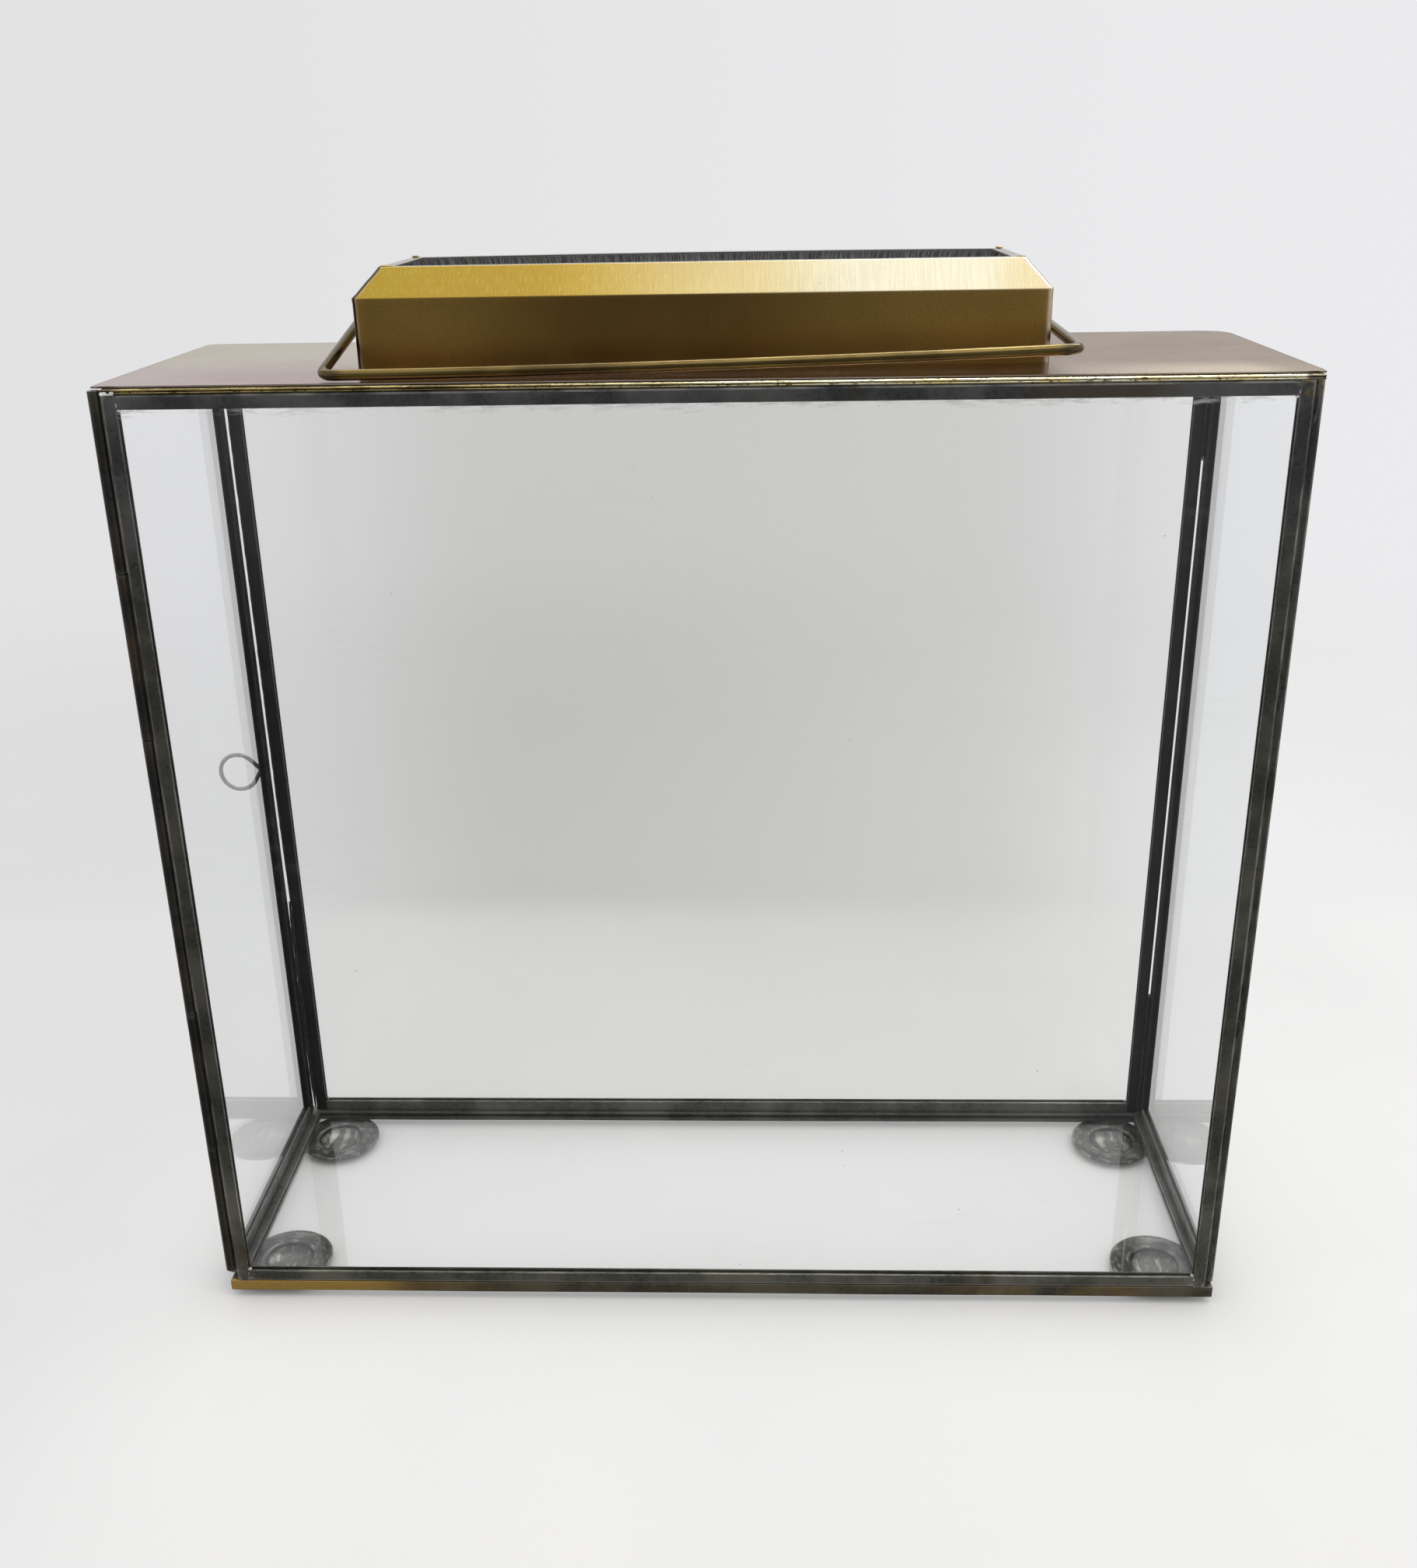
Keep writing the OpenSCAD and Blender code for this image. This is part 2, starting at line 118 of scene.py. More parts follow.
def arc2(cx, cy, r, a0, a1, n):
    """n + 1 points of an arc about (cx, cy), from a0 to a1 degrees."""
    angles = [math.radians(a0 + (a1 - a0) * i / n) for i in range(n + 1)]
    return [(cx + r * math.cos(a), cy + r * math.sin(a)) for a in angles]


def tube_rings(points, radius, sides, wobble=0.0, seed=0.0):
    """Rings of a round wire along points, without twist."""
    rings = []
    side = None
    for i, p in enumerate(points):
        ahead = points[min(i + 1, len(points) - 1)] - points[max(i - 1, 0)]
        ahead.normalize()
        if side is None:
            side = ahead.cross(Vector((0, 0, 1)) if abs(ahead.z) < 0.9 else Vector((0, 1, 0))).normalized()
        else:
            side = (side - ahead * side.dot(ahead)).normalized()
        up = ahead.cross(side)
        r = radius * (1 - wobble * abs(wander(p, 0.006, seed)))
        rings.append([p + (side * math.cos(t) + up * math.sin(t)) * r
                      for t in (2 * math.pi * j / sides for j in range(sides))])
    return rings


def rounded_path(corners, bends, step=0.0012):
    """Points along straight runs joined by round bends, close together in the bends."""
    out = [corners[0]]
    for i in range(1, len(corners) - 1):
        p, q, s = corners[i - 1], corners[i], corners[i + 1]
        u, v = (p - q).normalized(), (s - q).normalized()
        angle = u.angle(v)
        reach = bends[i] / math.tan(angle / 2)
        centre = q + (u + v).normalized() * bends[i] / math.sin(angle / 2)
        start, end = q + u * reach - centre, q + v * reach - centre
        turns = max(3, int(bends[i] * (math.pi - angle) / step))
        across = (end - start * (start.dot(end) / start.length_squared)).normalized() * start.length
        sweep = math.pi - angle
        for k in range(turns + 1):
            t = sweep * k / turns
            out.append(centre + start * math.cos(t) + across * math.sin(t))
    out.append(corners[-1])
    dense = [out[0]]
    for a, b in zip(out, out[1:]):
        cuts = max(1, int((b - a).length / 0.004))
        dense += [a.lerp(b, k / cuts) for k in range(1, cuts + 1)]
    return dense


# ---------- materials ----------

class Nodes:
    """Short names for building one node tree."""

    def __init__(self, tree):
        self.tree = tree
        tree.nodes.clear()

    def new(self, kind, **settings):
        node = self.tree.nodes.new(kind)
        for key, value in settings.items():
            setattr(node, key, value)
        return node

    def link(self, value, socket):
        if isinstance(value, bpy.types.NodeSocket):
            self.tree.links.new(value, socket)
        elif value is not None:
            if socket.type == "RGBA" and len(value) == 3:
                value = (*value, 1.0)
            socket.default_value = value

    def math(self, op, first, *others):
        """One maths node for each further value, so that a sum or a product may take several."""
        for value in others:
            node = self.new("ShaderNodeMath", operation=op)
            self.link(first, node.inputs[0])
            self.link(value, node.inputs[1])
            first = node.outputs[0]
        return first

    def mul(self, *values):
        return self.math("MULTIPLY", *values)

    def add(self, *values):
        return self.math("ADD", *values)

    def sub(self, a, b):
        return self.math("SUBTRACT", a, b)

    def most(self, a, b):
        return self.math("MAXIMUM", a, b)

    def off(self, value, middle):
        """How far value is from middle, either way."""
        return self.math("ABSOLUTE", self.sub(value, middle), 0.0)

    def mix(self, fac, a, b, blend="MIX"):
        node = self.new("ShaderNodeMix", data_type="RGBA", blend_type=blend)
        node.clamp_factor = True
        self.link(fac, node.inputs[0])
        self.link(a, node.inputs[6])
        self.link(b, node.inputs[7])
        return node.outputs[2]

    def ramp(self, value, low, high, to_low=0.0, to_high=1.0):
        node = self.new("ShaderNodeMapRange", interpolation_type="SMOOTHSTEP")
        for v, s in zip((value, low, high, to_low, to_high), node.inputs):
            self.link(v, s)
        return node.outputs[0]

    def scaled(self, place, scale):
        node = self.new("ShaderNodeMapping")
        self.link(place, node.inputs[0])
        node.inputs["Scale"].default_value = scale
        return node.outputs[0]

    def coords(self, scale=(1, 1, 1)):
        return self.scaled(self.new("ShaderNodeTexCoord").outputs["Object"], scale)

    def uv(self, scale):
        return self.scaled(self.new("ShaderNodeUVMap", uv_map="Grain").outputs[0], scale)

    def texture(self, kind, where, output, **settings):
        node = self.new(kind)
        self.link(where, node.inputs["Vector"])
        for key, value in settings.items():
            node.inputs[key].default_value = value
        return node.outputs[output]

    def noise(self, where, scale, detail=3.0, rough=0.55):
        return self.texture("ShaderNodeTexNoise", where, "Fac", Scale=scale, Detail=detail, Roughness=rough)

    def voronoi(self, where, scale):
        return self.texture("ShaderNodeTexVoronoi", where, "Distance", Scale=scale)

    def value(self, label):
        return self.new("ShaderNodeAttribute", attribute_name=label).outputs["Fac"]

    def position(self):
        node = self.new("ShaderNodeSeparateXYZ")
        self.link(self.new("ShaderNodeTexCoord").outputs["Object"], node.inputs[0])
        return node.outputs

    def bump(self, height, strength, distance=0.0002):
        node = self.new("ShaderNodeBump")
        node.inputs["Strength"].default_value = strength
        node.inputs["Distance"].default_value = distance
        self.link(height, node.inputs["Height"])
        return node.outputs["Normal"]

    def shader(self, kind, **inputs):
        """A shader whose inputs are set or linked by name, with _ for a space."""
        node = self.new("ShaderNode" + kind)
        for key, value in inputs.items():
            self.link(value, node.inputs[key.replace("_", " ")])
        return node.outputs[0]

    def surface(self, colour, metallic, roughness, normal, **more):
        return self.shader("BsdfPrincipled", Base_Color=colour, Metallic=metallic, Roughness=roughness,
                           Normal=normal, **more)

    def blend(self, factor, a, b):
        """Shader a where factor is 0, and b where it is 1."""
        node = self.new("ShaderNodeMixShader")
        for value, socket in zip((factor, a, b), node.inputs):
            self.link(value, socket)
        return node.outputs[0]

    def output(self, shader, kind="ShaderNodeOutputMaterial"):
        self.link(shader, self.new(kind).inputs["Surface"])


def material(name):
    mat = bpy.data.materials.new(name)
    mat.use_nodes = True
    return mat, Nodes(mat.node_tree)


def times(colour, share):
    return [min(1, c * share) for c in colour]


STRAW, RUST, RUBBED = (0.37, 0.225, 0.050), (0.056, 0.034, 0.018), (0.30, 0.285, 0.26)
# pale colour of the painted highlight patches on the pewter feet
PAINTED_GLINT = (0.62, 0.60, 0.52)
BASE_FACE_Y = (-0.0712, -0.0720)    # from the top of the base's front strip to its outer face


def base_gold(n, where, fine):
    """Bare brass left on the base's front strip: its left third, and a patch near the right."""
    x, y, _ = n.position()
    left = n.ramp(n.add(x, n.mul(n.noise(where, 16, 2), 0.10)), -0.15, -0.03, 1, 0)
    patch = n.mul(n.ramp(x, 0.10, 0.15), n.ramp(x, 0.215, 0.19),
                  n.ramp(n.noise(where, 28, 3), 0.36, 0.62, 0, 0.40))
    return n.mul(n.most(left, patch), n.ramp(fine, 0.22, 0.5, 0.55, 1.0), n.ramp(y, *BASE_FACE_Y))


def corner_gold(n, where, _):
    """A brown-gold smear of solder at the top of the front right upright."""
    x, _, z = n.position()
    return n.mul(n.ramp(x, 0.2285, 0.2325), n.ramp(z, 0.4085, 0.4125),
                 n.ramp(n.noise(where, 240, 3), 0.36, 0.56, 0, 0.4))


def patina_metal(name, dark, light, stain_from=0.60, gold=None, metal=0.5, worn=0.5, warm=True):
    """Dark satin patina on a folded strip: slate above and browner below, blots, stains and rubbed edges, with
    painted light towards the bottom of the case and painted shade along the base strip's underside.
    """
    mat, n = material(name)
    where = n.coords()
    broad = n.noise(where, 36, 4, 0.62)
    fine = n.noise(where, 520, 3, 0.6)
    z, edge = n.position()[Z], n.value("edge")
    colour = n.mix(n.ramp(broad, 0.34, 0.68), dark, light)
    if warm:
        tint = n.mix(n.ramp(z, 0.405, 0.30), (1.0, 1.0, 1.0), (1.02, 0.96, 0.82))
        # painted light: the patina turns much lighter and warmer towards the bottom of the case
        tint = n.mix(n.ramp(z, 0.12, 0.02), tint, (1.85, 1.76, 1.45))
        colour = n.mix(1.0, colour, tint, "MULTIPLY")
    blot = n.mul(n.ramp(fine, 0.50, 0.68), n.ramp(broad, 0.62, 0.40), 0.6)
    colour = n.mix(blot, colour, times(dark, 0.35))
    stain = n.ramp(n.noise(where, 19, 3, 0.5), stain_from, stain_from + 0.10, 0, 0.7)
    colour = n.mix(stain, colour, RUST)
    metallic = metal
    if gold is not None:
        bare = gold(n, where, fine)
        colour = n.mix(bare, colour, STRAW)
        metallic = n.ramp(bare, 0.0, 1.0, metal, 0.4)
    rubbed = n.mul(n.ramp(edge, 0.45, 1.0), n.ramp(n.noise(where, 60, 3, 0.6), 0.36, 0.66))
    if warm and gold is not base_gold:
        foot = n.mul(n.ramp(z, 0.0125, 0.0112), n.ramp(edge, 0.35, 0.8), n.ramp(broad, 0.30, 0.5, 0.8, 1.5))
        rubbed = n.most(rubbed, foot)
    colour = n.mix(n.mul(rubbed, worn), colour, RUBBED)
    if gold is base_gold:
        # painted shade: a near-black band along the lowest edge of the base strip, where the underside and the
        # contact shadow fall
        under = n.ramp(z, 0.0047, 0.0041, 0, 0.85)
        colour = n.mix(under, colour, (0.020, 0.016, 0.011))
    rough = n.add(n.ramp(broad, 0.3, 0.7, 0.44, 0.34), n.ramp(fine, 0.3, 0.8, -0.04, 0.10))
    n.output(n.surface(colour, metallic, rough, n.bump(fine, 0.22, 0.00010)))
    return mat


def brass_metal(name, colour, tarnish, rough, grain_scale, grain_depth, spots=0.3, uv=True, dark_ends=None):
    """Drawn or melted brass with cloudy tarnish, grain and specks. dark_ends is (middle, distance) along X."""
    mat, n = material(name)
    where = n.coords()
    cloud = n.noise(where, 22, 4, 0.6)
    fine = n.noise(where, 260, 4, 0.6)
    line = n.noise(n.uv(grain_scale) if uv else n.coords(grain_scale), 1.0, 3, 0.6)
    tint = n.mix(n.ramp(cloud, 0.36, 0.72, 0, spots), colour, tarnish)
    tint = n.mix(n.ramp(line, 0.3, 0.7, 0, 0.28), tint, times(colour, 0.72))
    tint = n.mix(n.mul(n.ramp(n.value("edge"), 0.5, 1), 0.8), tint, times(colour, 0.3))
    if dark_ends:
        middle, reach = dark_ends
        ends = n.ramp(n.off(n.position()[X], middle), reach - 0.005, reach, 0, 0.8)
        tint = n.mix(ends, tint, (0.085, 0.072, 0.045))
    speck = n.mul(n.ramp(n.voronoi(where, 190), 0.0, 0.07, 1, 0), n.ramp(fine, 0.5, 0.6))
    tint = n.mix(speck, tint, times(colour, 0.2))
    roughness = n.add(n.ramp(cloud, 0.3, 0.75, rough, rough + 0.1), n.ramp(line, 0.3, 0.7, -0.03, 0.05))
    height = n.add(n.mul(line, 0.7), n.mul(fine, 0.3))
    n.output(n.surface(tint, 1.0, roughness, n.bump(height, grain_depth, 0.0001)))
    return mat


def vent_brass(name, left_end, right_end, foot_z, fold_z):
    """Upright-brushed brass outside; zone 1 is the pale lip and zone 2 the dark inside."""
    mat, n = material(name)
    where = n.coords()
    x, _, z = n.position()
    edge, zone = n.value("edge"), n.value("zone")
    middle = (left_end + right_end) / 2
    cloud = n.noise(where, 26, 4, 0.6)
    fine = n.noise(where, 900, 2, 0.6)
    line = n.noise(n.uv((170, 7, 1)), 1.0, 3, 0.65)
    dash = n.ramp(n.noise(n.uv((330, 30, 1)), 1.0, 2, 0.5), 0.56, 0.70)
    # the sloping collar, with a painted highlight that makes it paler towards the right
    tint = n.mix(n.ramp(cloud, 0.35, 0.70), (0.62, 0.43, 0.065), (0.56, 0.375, 0.065))
    painted_collar_highlight = n.mix(n.ramp(x, middle + 0.015, middle + 0.065), (0.70, 0.575, 0.30), (0.74, 0.70, 0.54))
    tint = n.mix(n.ramp(x, middle - 0.065, middle + 0.025), tint, painted_collar_highlight)
    right = n.ramp(n.add(x, n.mul(cloud, 0.02)), right_end - 0.022, right_end, 0, 0.5)
    tint = n.mix(right, tint, (0.66, 0.50, 0.22))
    tint = n.mix(n.ramp(line, 0.32, 0.68, 0, 0.22), tint, n.mix(1.0, tint, (0.72, 0.66, 0.5), "MULTIPLY"))
    upper = n.ramp(z, fold_z - 0.0006, fold_z + 0.0006)
    tint = n.mix(n.mul(dash, upper, n.ramp(x, middle, middle + 0.06, 0.55, 0.15)), tint, (0.80, 0.62, 0.26))
    # the upright wall, with a painted reflection that makes it darker towards its foot and near its middle
    low = n.mix(n.ramp(z, foot_z + 0.018, foot_z), (0.50, 0.315, 0.085), (0.42, 0.250, 0.068))
    low = n.mix(n.ramp(n.noise(where, 9, 3, 0.6), 0.4, 0.65, 0, 0.5), low, (0.33, 0.185, 0.045))
    low = n.mix(n.ramp(n.off(x, middle - 0.015), 0.10, 0.02, 0, 0.55), low, (0.16, 0.085, 0.025))
    low = n.mix(n.ramp(fine, 0.4, 0.7, 0, 0.3), low, (0.26, 0.17, 0.06))
    tint = n.mix(upper, low, tint)
    speck = n.mul(n.ramp(n.voronoi(where, 210), 0.0, 0.08, 1, 0), n.ramp(cloud, 0.5, 0.6))
    tint = n.mix(speck, tint, (0.12, 0.07, 0.03))
    # folds: a painted highlight, paler on the right, where the edge value is high, with rubbed wear along the rims;
    # painted shade where the edge value is below 0
    leftish = n.ramp(x, middle - 0.01, middle + 0.01, 1, 0)
    pale = n.mul(n.ramp(edge, 0.35, 0.8), n.ramp(fine, 0.3, 0.6, 0.55, 1.0),
                 n.mix(leftish, (0.85,) * 3, (0.55,) * 3))
    tint = n.mix(pale, tint, (0.70, 0.58, 0.46))
    tint = n.mix(n.ramp(edge, -0.3, -0.8), tint, (0.018, 0.014, 0.010))
    tint = n.mix(n.ramp(zone, 0.3, 0.9), tint, (0.30, 0.28, 0.275))
    inner = n.mix(n.ramp(line, 0.36, 0.66), (0.055, 0.057, 0.058), (0.27, 0.27, 0.265))
    tint = n.mix(n.ramp(zone, 1.3, 1.9), tint, inner)
    rough = n.add(n.ramp(cloud, 0.3, 0.7, 0.20, 0.28), n.ramp(line, 0.3, 0.7, -0.03, 0.05),
                  n.mul(n.sub(1.0, upper), 0.10))
    height = n.add(n.mul(line, 0.8), n.mul(fine, 0.2))
    n.output(n.surface(tint, n.ramp(zone, 1.2, 2.0, 1.0, 0.5), rough, n.bump(height, 0.22, 0.0001)))
    return mat


def ridge_brass(name, left_end, right_end):
    """Rolled bright strip: brilliant ridges with a painted highlight that makes them paler and whiter to the right,
    brown grooves, chips, and dull ends.
    """
    mat, n = material(name)
    x = n.position()[X]
    chips = n.noise(n.coords((500, 900, 1400)), 1.0, 3, 0.6)
    runs = n.noise(n.coords((45, 200, 200)), 1.0, 2, 0.6)
    # painted highlight: the strip's colour runs from dull gold on the left to near-white on the right
    right = n.ramp(x, -0.10, 0.12)
    bright = n.mix(right, (0.52, 0.42, 0.18), (1.0, 0.96, 0.72))
    tint = n.mix(n.ramp(runs, 0.40, 0.66), bright, n.mix(right, (0.20, 0.15, 0.06), (0.92, 0.78, 0.40)))
    groove = n.mul(n.ramp(n.value("edge"), 0.75, 0.25), n.ramp(runs, 0.30, 0.5, 0.75, 1.0))
    tint = n.mix(groove, tint, (0.075, 0.042, 0.018))
    tint = n.mix(n.ramp(chips, 0.57, 0.66, 0, 0.9), tint, (0.085, 0.052, 0.024))
    dull = n.most(n.ramp(x, left_end + 0.009, left_end + 0.004), n.ramp(x, right_end - 0.005, right_end - 0.0025))
    tint = n.mix(n.mul(dull, 0.85), tint, (0.11, 0.075, 0.055))
    height = n.add(n.mul(chips, 0.6), n.mul(runs, 0.5))
    n.output(n.surface(tint, 1.0, n.ramp(chips, 0.35, 0.65, 0.10, 0.24), n.bump(height, 0.7, 0.0002)))
    return mat


def bronze_sheet(name, top):
    """Thin taupe-brown sheet, browner to the right, with faint handling marks and a dark rim."""
    mat, n = material(name)
    where = n.coords()
    x, y, z = n.position()
    edge = n.value("edge")
    cloud = n.noise(where, 13, 4, 0.6)
    fine = n.noise(where, 420, 3, 0.6)
    right = n.ramp(x, 0.0, 0.19)
    tint = n.mix(n.ramp(cloud, 0.34, 0.70), (0.362, 0.283, 0.262), (0.325, 0.243, 0.219))
    tint = n.mix(right, tint, n.mix(1.0, tint, (0.60, 0.545, 0.44), "MULTIPLY"))
    rear = n.mul(n.ramp(y, -0.045, 0.030), n.ramp(x, 0.02, -0.06))
    tint = n.mix(n.mul(rear, 0.8), tint, (0.385, 0.345, 0.290))
    corner = n.mul(n.ramp(x, 0.13, 0.20), n.ramp(y, -0.030, -0.062), n.ramp(x, 0.233, 0.212, 0.25, 0.8))
    tint = n.mix(corner, tint, (0.82, 0.73, 0.60))
    smudge = n.ramp(n.noise(n.coords((26, 130, 130)), 1.0, 3, 0.6), 0.62, 0.80, 0, 0.08)
    tint = n.mix(smudge, tint, (0.26, 0.205, 0.17))
    mark = n.ramp(n.noise(n.coords((150, 600, 600)), 1.0, 1, 0.5), 0.67, 0.72)
    tint = n.mix(n.mul(mark, n.ramp(cloud, 0.50, 0.56, 0, 0.75)), tint, (0.16, 0.12, 0.09))
    # the sheet's cut side, brown, with painted shade that makes it near-black along its lower edge and all over at
    # the ends
    side = n.mul(n.ramp(edge, 0.5, 0.9), n.ramp(z, top - 0.00018, top - 0.00030))
    tint = n.mix(side, tint, (0.30, 0.245, 0.20))
    ends = n.most(n.ramp(x, -0.205, -0.212), n.ramp(x, 0.2315, 0.235))
    under = n.mul(side, n.most(ends, n.ramp(z, top - 0.00045, top - 0.0006)))
    tint = n.mix(under, tint, (0.03, 0.022, 0.016))
    far_rim = n.mul(n.most(n.ramp(y, 0.050, 0.060), ends), n.ramp(edge, 0.80, 0.96, 0, 0.85))
    tint = n.mix(far_rim, tint, (0.07, 0.055, 0.045))
    rough = n.add(n.ramp(cloud, 0.3, 0.7, 0.21, 0.25), n.ramp(fine, 0.3, 0.8, -0.005, 0.015), n.mul(side, 0.3))
    grazing = n.mix(right, n.mix(rear, (0.96, 0.92, 0.93), (0.97, 0.95, 0.90)), (0.89, 0.84, 0.78))
    n.output(n.surface(tint, n.ramp(side, 0.0, 1.0, 1.0, 0.15), rough, n.bump(n.add(fine, cloud), 0.012, 0.0001),
                       Specular_Tint=grazing))
    return mat


def glass_sheet(name, top_marks):
    """Old window glass: two reflecting faces, an almost neutral tint with painted shade that dims the middle, faint
    smears, water marks and specks.
    """
    mat, n = material(name)
    where = n.coords()
    x, _, z = n.position()
    back = n.new("ShaderNodeNewGeometry").outputs["Backfacing"]
    ior = n.sub(GLASS_IOR, n.mul(back, GLASS_IOR - 1 / GLASS_IOR))
    # painted shade: the glass passes less light through its middle than at its sides
    painted_dim_middle = n.mul(n.ramp(n.off(x, 0.02), 0.215, 0.10), n.ramp(z, 0.07, 0.15))
    clear = n.shader("BsdfTransparent", Color=n.mix(painted_dim_middle, (1.0, 1.0, 1.0), (0.955, 0.957, 0.948)))
    ripple = n.bump(n.noise(where, 9, 1, 0.4), 0.25, 0.0006)
    gloss = n.shader("BsdfGlossy", Color=(0.95, 0.97, 1.0), Roughness=0.02, Normal=ripple)
    pane = n.blend(n.shader("Fresnel", IOR=ior), clear, gloss)
    patches = n.noise(where, 12, 2, 0.6)
    haze = n.mul(n.ramp(patches, 0.50, 0.72), n.ramp(n.noise(n.coords((60, 60, 320)), 1, 2), 0.45, 0.8, 0, 0.022))
    speck = n.mul(n.ramp(n.voronoi(where, 75), 0.0, 0.04, 1, 0), n.ramp(patches, 0.55, 0.62, 0, 0.55))
    if top_marks:
        ragged = n.mul(n.noise(n.coords((60, 60, 40)), 1, 3, 0.65), 0.007)
        streaks = n.ramp(n.noise(n.coords((110, 110, 700)), 1, 3, 0.7), 0.46, 0.62, 0.0, 0.34)
        stain = n.mul(n.ramp(n.sub(z, ragged), top_marks - 0.0105, top_marks - 0.0090), streaks,
                      n.ramp(patches, 0.36, 0.52, 0.25, 1.0))
        haze = n.most(haze, stain)
    hazed = n.blend(haze, pane, n.shader("BsdfDiffuse", Color=(0.50, 0.50, 0.49)))
    n.output(n.blend(speck, hazed, n.shader("BsdfDiffuse", Color=(0.10, 0.10, 0.09))))
    return mat


def dull_metal(name, colour, mottled, rough, metal=0.85, scale=160, depth=0.4, streaks=0.0):
    """Pewter, solder and plated wire: mottled, softly pitted, with turned streaks and painted highlight patches where
    asked, and painted shade where the edge value is below 0.
    """
    mat, n = material(name)
    where = n.coords()
    wear = n.value("edge")
    blotch = n.noise(where, scale, 4, 0.6)
    fine = n.noise(where, scale * 6, 3, 0.6)
    tint = n.mix(n.ramp(blotch, 0.36, 0.66), colour, mottled)
    if streaks:
        swirl = n.noise(n.uv((2.2, 26, 1)), 1.0, 3, 0.65)
        tint = n.mix(n.ramp(swirl, 0.48, 0.66, 0, streaks), tint, times(colour, 2.6))
        # painted highlight: pale patches where the edge value is high
        painted_glint = n.ramp(n.noise(n.coords((260, 60, 60)), 1.0, 3, 0.6), 0.50, 0.62)
        tint = n.mix(n.mul(painted_glint, n.ramp(wear, 0.5, 0.7), 0.8), tint, PAINTED_GLINT)
    tint = n.mix(n.ramp(wear, 0.4, 1.0, 0, 0.5), tint, times(colour, 1.8))
    # painted shade where the edge value is below 0: a dark ring at the top of each foot's bowl
    tint = n.mix(n.ramp(wear, -0.2, -0.9, 0, 0.9), tint, times(mottled, 0.22))
    height = n.add(n.mul(blotch, 0.7), n.mul(fine, 0.3))
    roughness = n.ramp(blotch, 0.3, 0.7, rough, rough + 0.16)
    n.output(n.surface(tint, metal, roughness, n.bump(height, depth, 0.00015)))
    return mat


GLASS_IOR = 1.5
FRONT_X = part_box("front_stile_left")[0].x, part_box("front_stile_right")[1].x
VENT_LO, VENT_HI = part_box("vent_front")[0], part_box("vent_back")[1]
VENT_MIDDLE = (VENT_LO.x + VENT_HI.x) / 2
LID_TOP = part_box("lid_plate")[1].z
FOLD_H = 27.1 * MM      # height of the vent's fold above the lid
BAIL_DARK = 0.1365      # the wire is darker from here outwards

CAME = patina_metal("came_patina", (0.034, 0.036, 0.036), (0.084, 0.087, 0.085), gold=corner_gold)
# a near-black copy of the came patina for the side and rear strips: painted shade
CAME_PAINTED_SHADE = patina_metal("came_shadowed", (0.006, 0.006, 0.005), (0.016, 0.016, 0.014), 0.7, None, 0.3, 0.10, False)
# a lighter copy of the came patina for the low strips near the floor: painted light
CAME_PAINTED_LIGHT = patina_metal("came_low", (0.070, 0.071, 0.064), (0.145, 0.146, 0.134), 0.7, None, 0.4, 0.25, False)
CAME_BASE = patina_metal("base_patina", (0.030, 0.028, 0.023), (0.064, 0.059, 0.046), 0.62, base_gold, 0.5, 0.12)
HINGE = patina_metal("hinge_patina", (0.014, 0.012, 0.010), (0.038, 0.032, 0.025), 0.60, None, 0.5, 0.30, False)
BRIGHT = ridge_brass("bright_brass", *FRONT_X)
BRUSHED = vent_brass("brushed_brass", VENT_LO.x, VENT_HI.x, LID_TOP, LID_TOP + FOLD_H)
LID = bronze_sheet("lid_bronze", LID_TOP)
BAIL = brass_metal("dark_brass", (0.30, 0.215, 0.075), (0.075, 0.052, 0.024), 0.15, (6, 60, 1), 0.22, 0.85,
                   dark_ends=(VENT_MIDDLE, BAIL_DARK))
GOLD_SOLDER = brass_metal("gold_solder", (0.58, 0.44, 0.16), (0.22, 0.15, 0.06), 0.30, (300, 300, 300), 0.9, 0.7,
                          uv=False)
# the solder's own pale tin, lifted to near-white and made mostly matt: painted highlight so that the drops read as
# glints
SOLDER = dull_metal("tin_solder", (0.80, 0.80, 0.78), (0.36, 0.36, 0.35), 0.24, 0.35)
SEAM = dull_metal("dark_seam", (0.050, 0.048, 0.044), (0.022, 0.021, 0.019), 0.40, 0.6)
PEWTER = dull_metal("pressed_pewter", (0.090, 0.092, 0.081), (0.044, 0.046, 0.040), 0.42, 0.75, 70, 0.2, 0.9)
NICKEL = dull_metal("ring_wire", (0.30, 0.29, 0.24), (0.17, 0.16, 0.13), 0.30, 0.95, 220)


def lets_light_by(piece):
    """Keeps soft room light on the floor under the lid and behind the glass, as a wide studio would."""
    piece.visible_shadow = piece.visible_diffuse = False


# ---------- came strips ----------

LIT_R = 1.2 * MM            # corner radius of the strips that face the camera
CREASE_R = 0.45 * MM        # corner radius of the others
TIP_R = 0.22 * MM
GLASS_HALF = 1.0 * MM
SLOT = 4.4 * MM
BASE_LIP = 1.0 * MM         # the base's strips reach this much lower than their nodes
STATION = 4.5 * MM          # spacing of a strip's cross sections
END_EASE, END_ROUND = 0.25 * MM, 0.14 * MM
WORN_END = 0.6 * MM
DENT, SWAY = 0.045 * MM, 0.10 * MM
UV_PER_M = 10


def came_profile(width, thick, r):
    """Closed loop of (a, b, wear): a runs from the strip's back towards its slot, b across the thickness."""
    h = thick / 2
    half = [(width, -GLASS_HALF, 0.3), (width, -(GLASS_HALF + h) / 2, 0.4)]
    half += [(a, b, 0.85) for a, b in arc2(width - TIP_R, -h + TIP_R, TIP_R, 0, -90, 3)]
    half += [(r + (width - TIP_R - r) * share, -h, 0.0) for share in (0.92, 0.6, 0.3)]
    half += [(a, b, 1.0 if 0 < i < 6 else 0.35)
             for i, (a, b) in enumerate(arc2(r, -h + r, r, -90, -180, 6))]
    mirrored = [(a, -b, wear) for a, b, wear in reversed(half)]
    slot = [(width - SLOT, GLASS_HALF, 0.0), (width - SLOT, -GLASS_HALF, 0.0)]
    return half + [(0.04 * MM, 0.0, 0.0)] + mirrored + slot


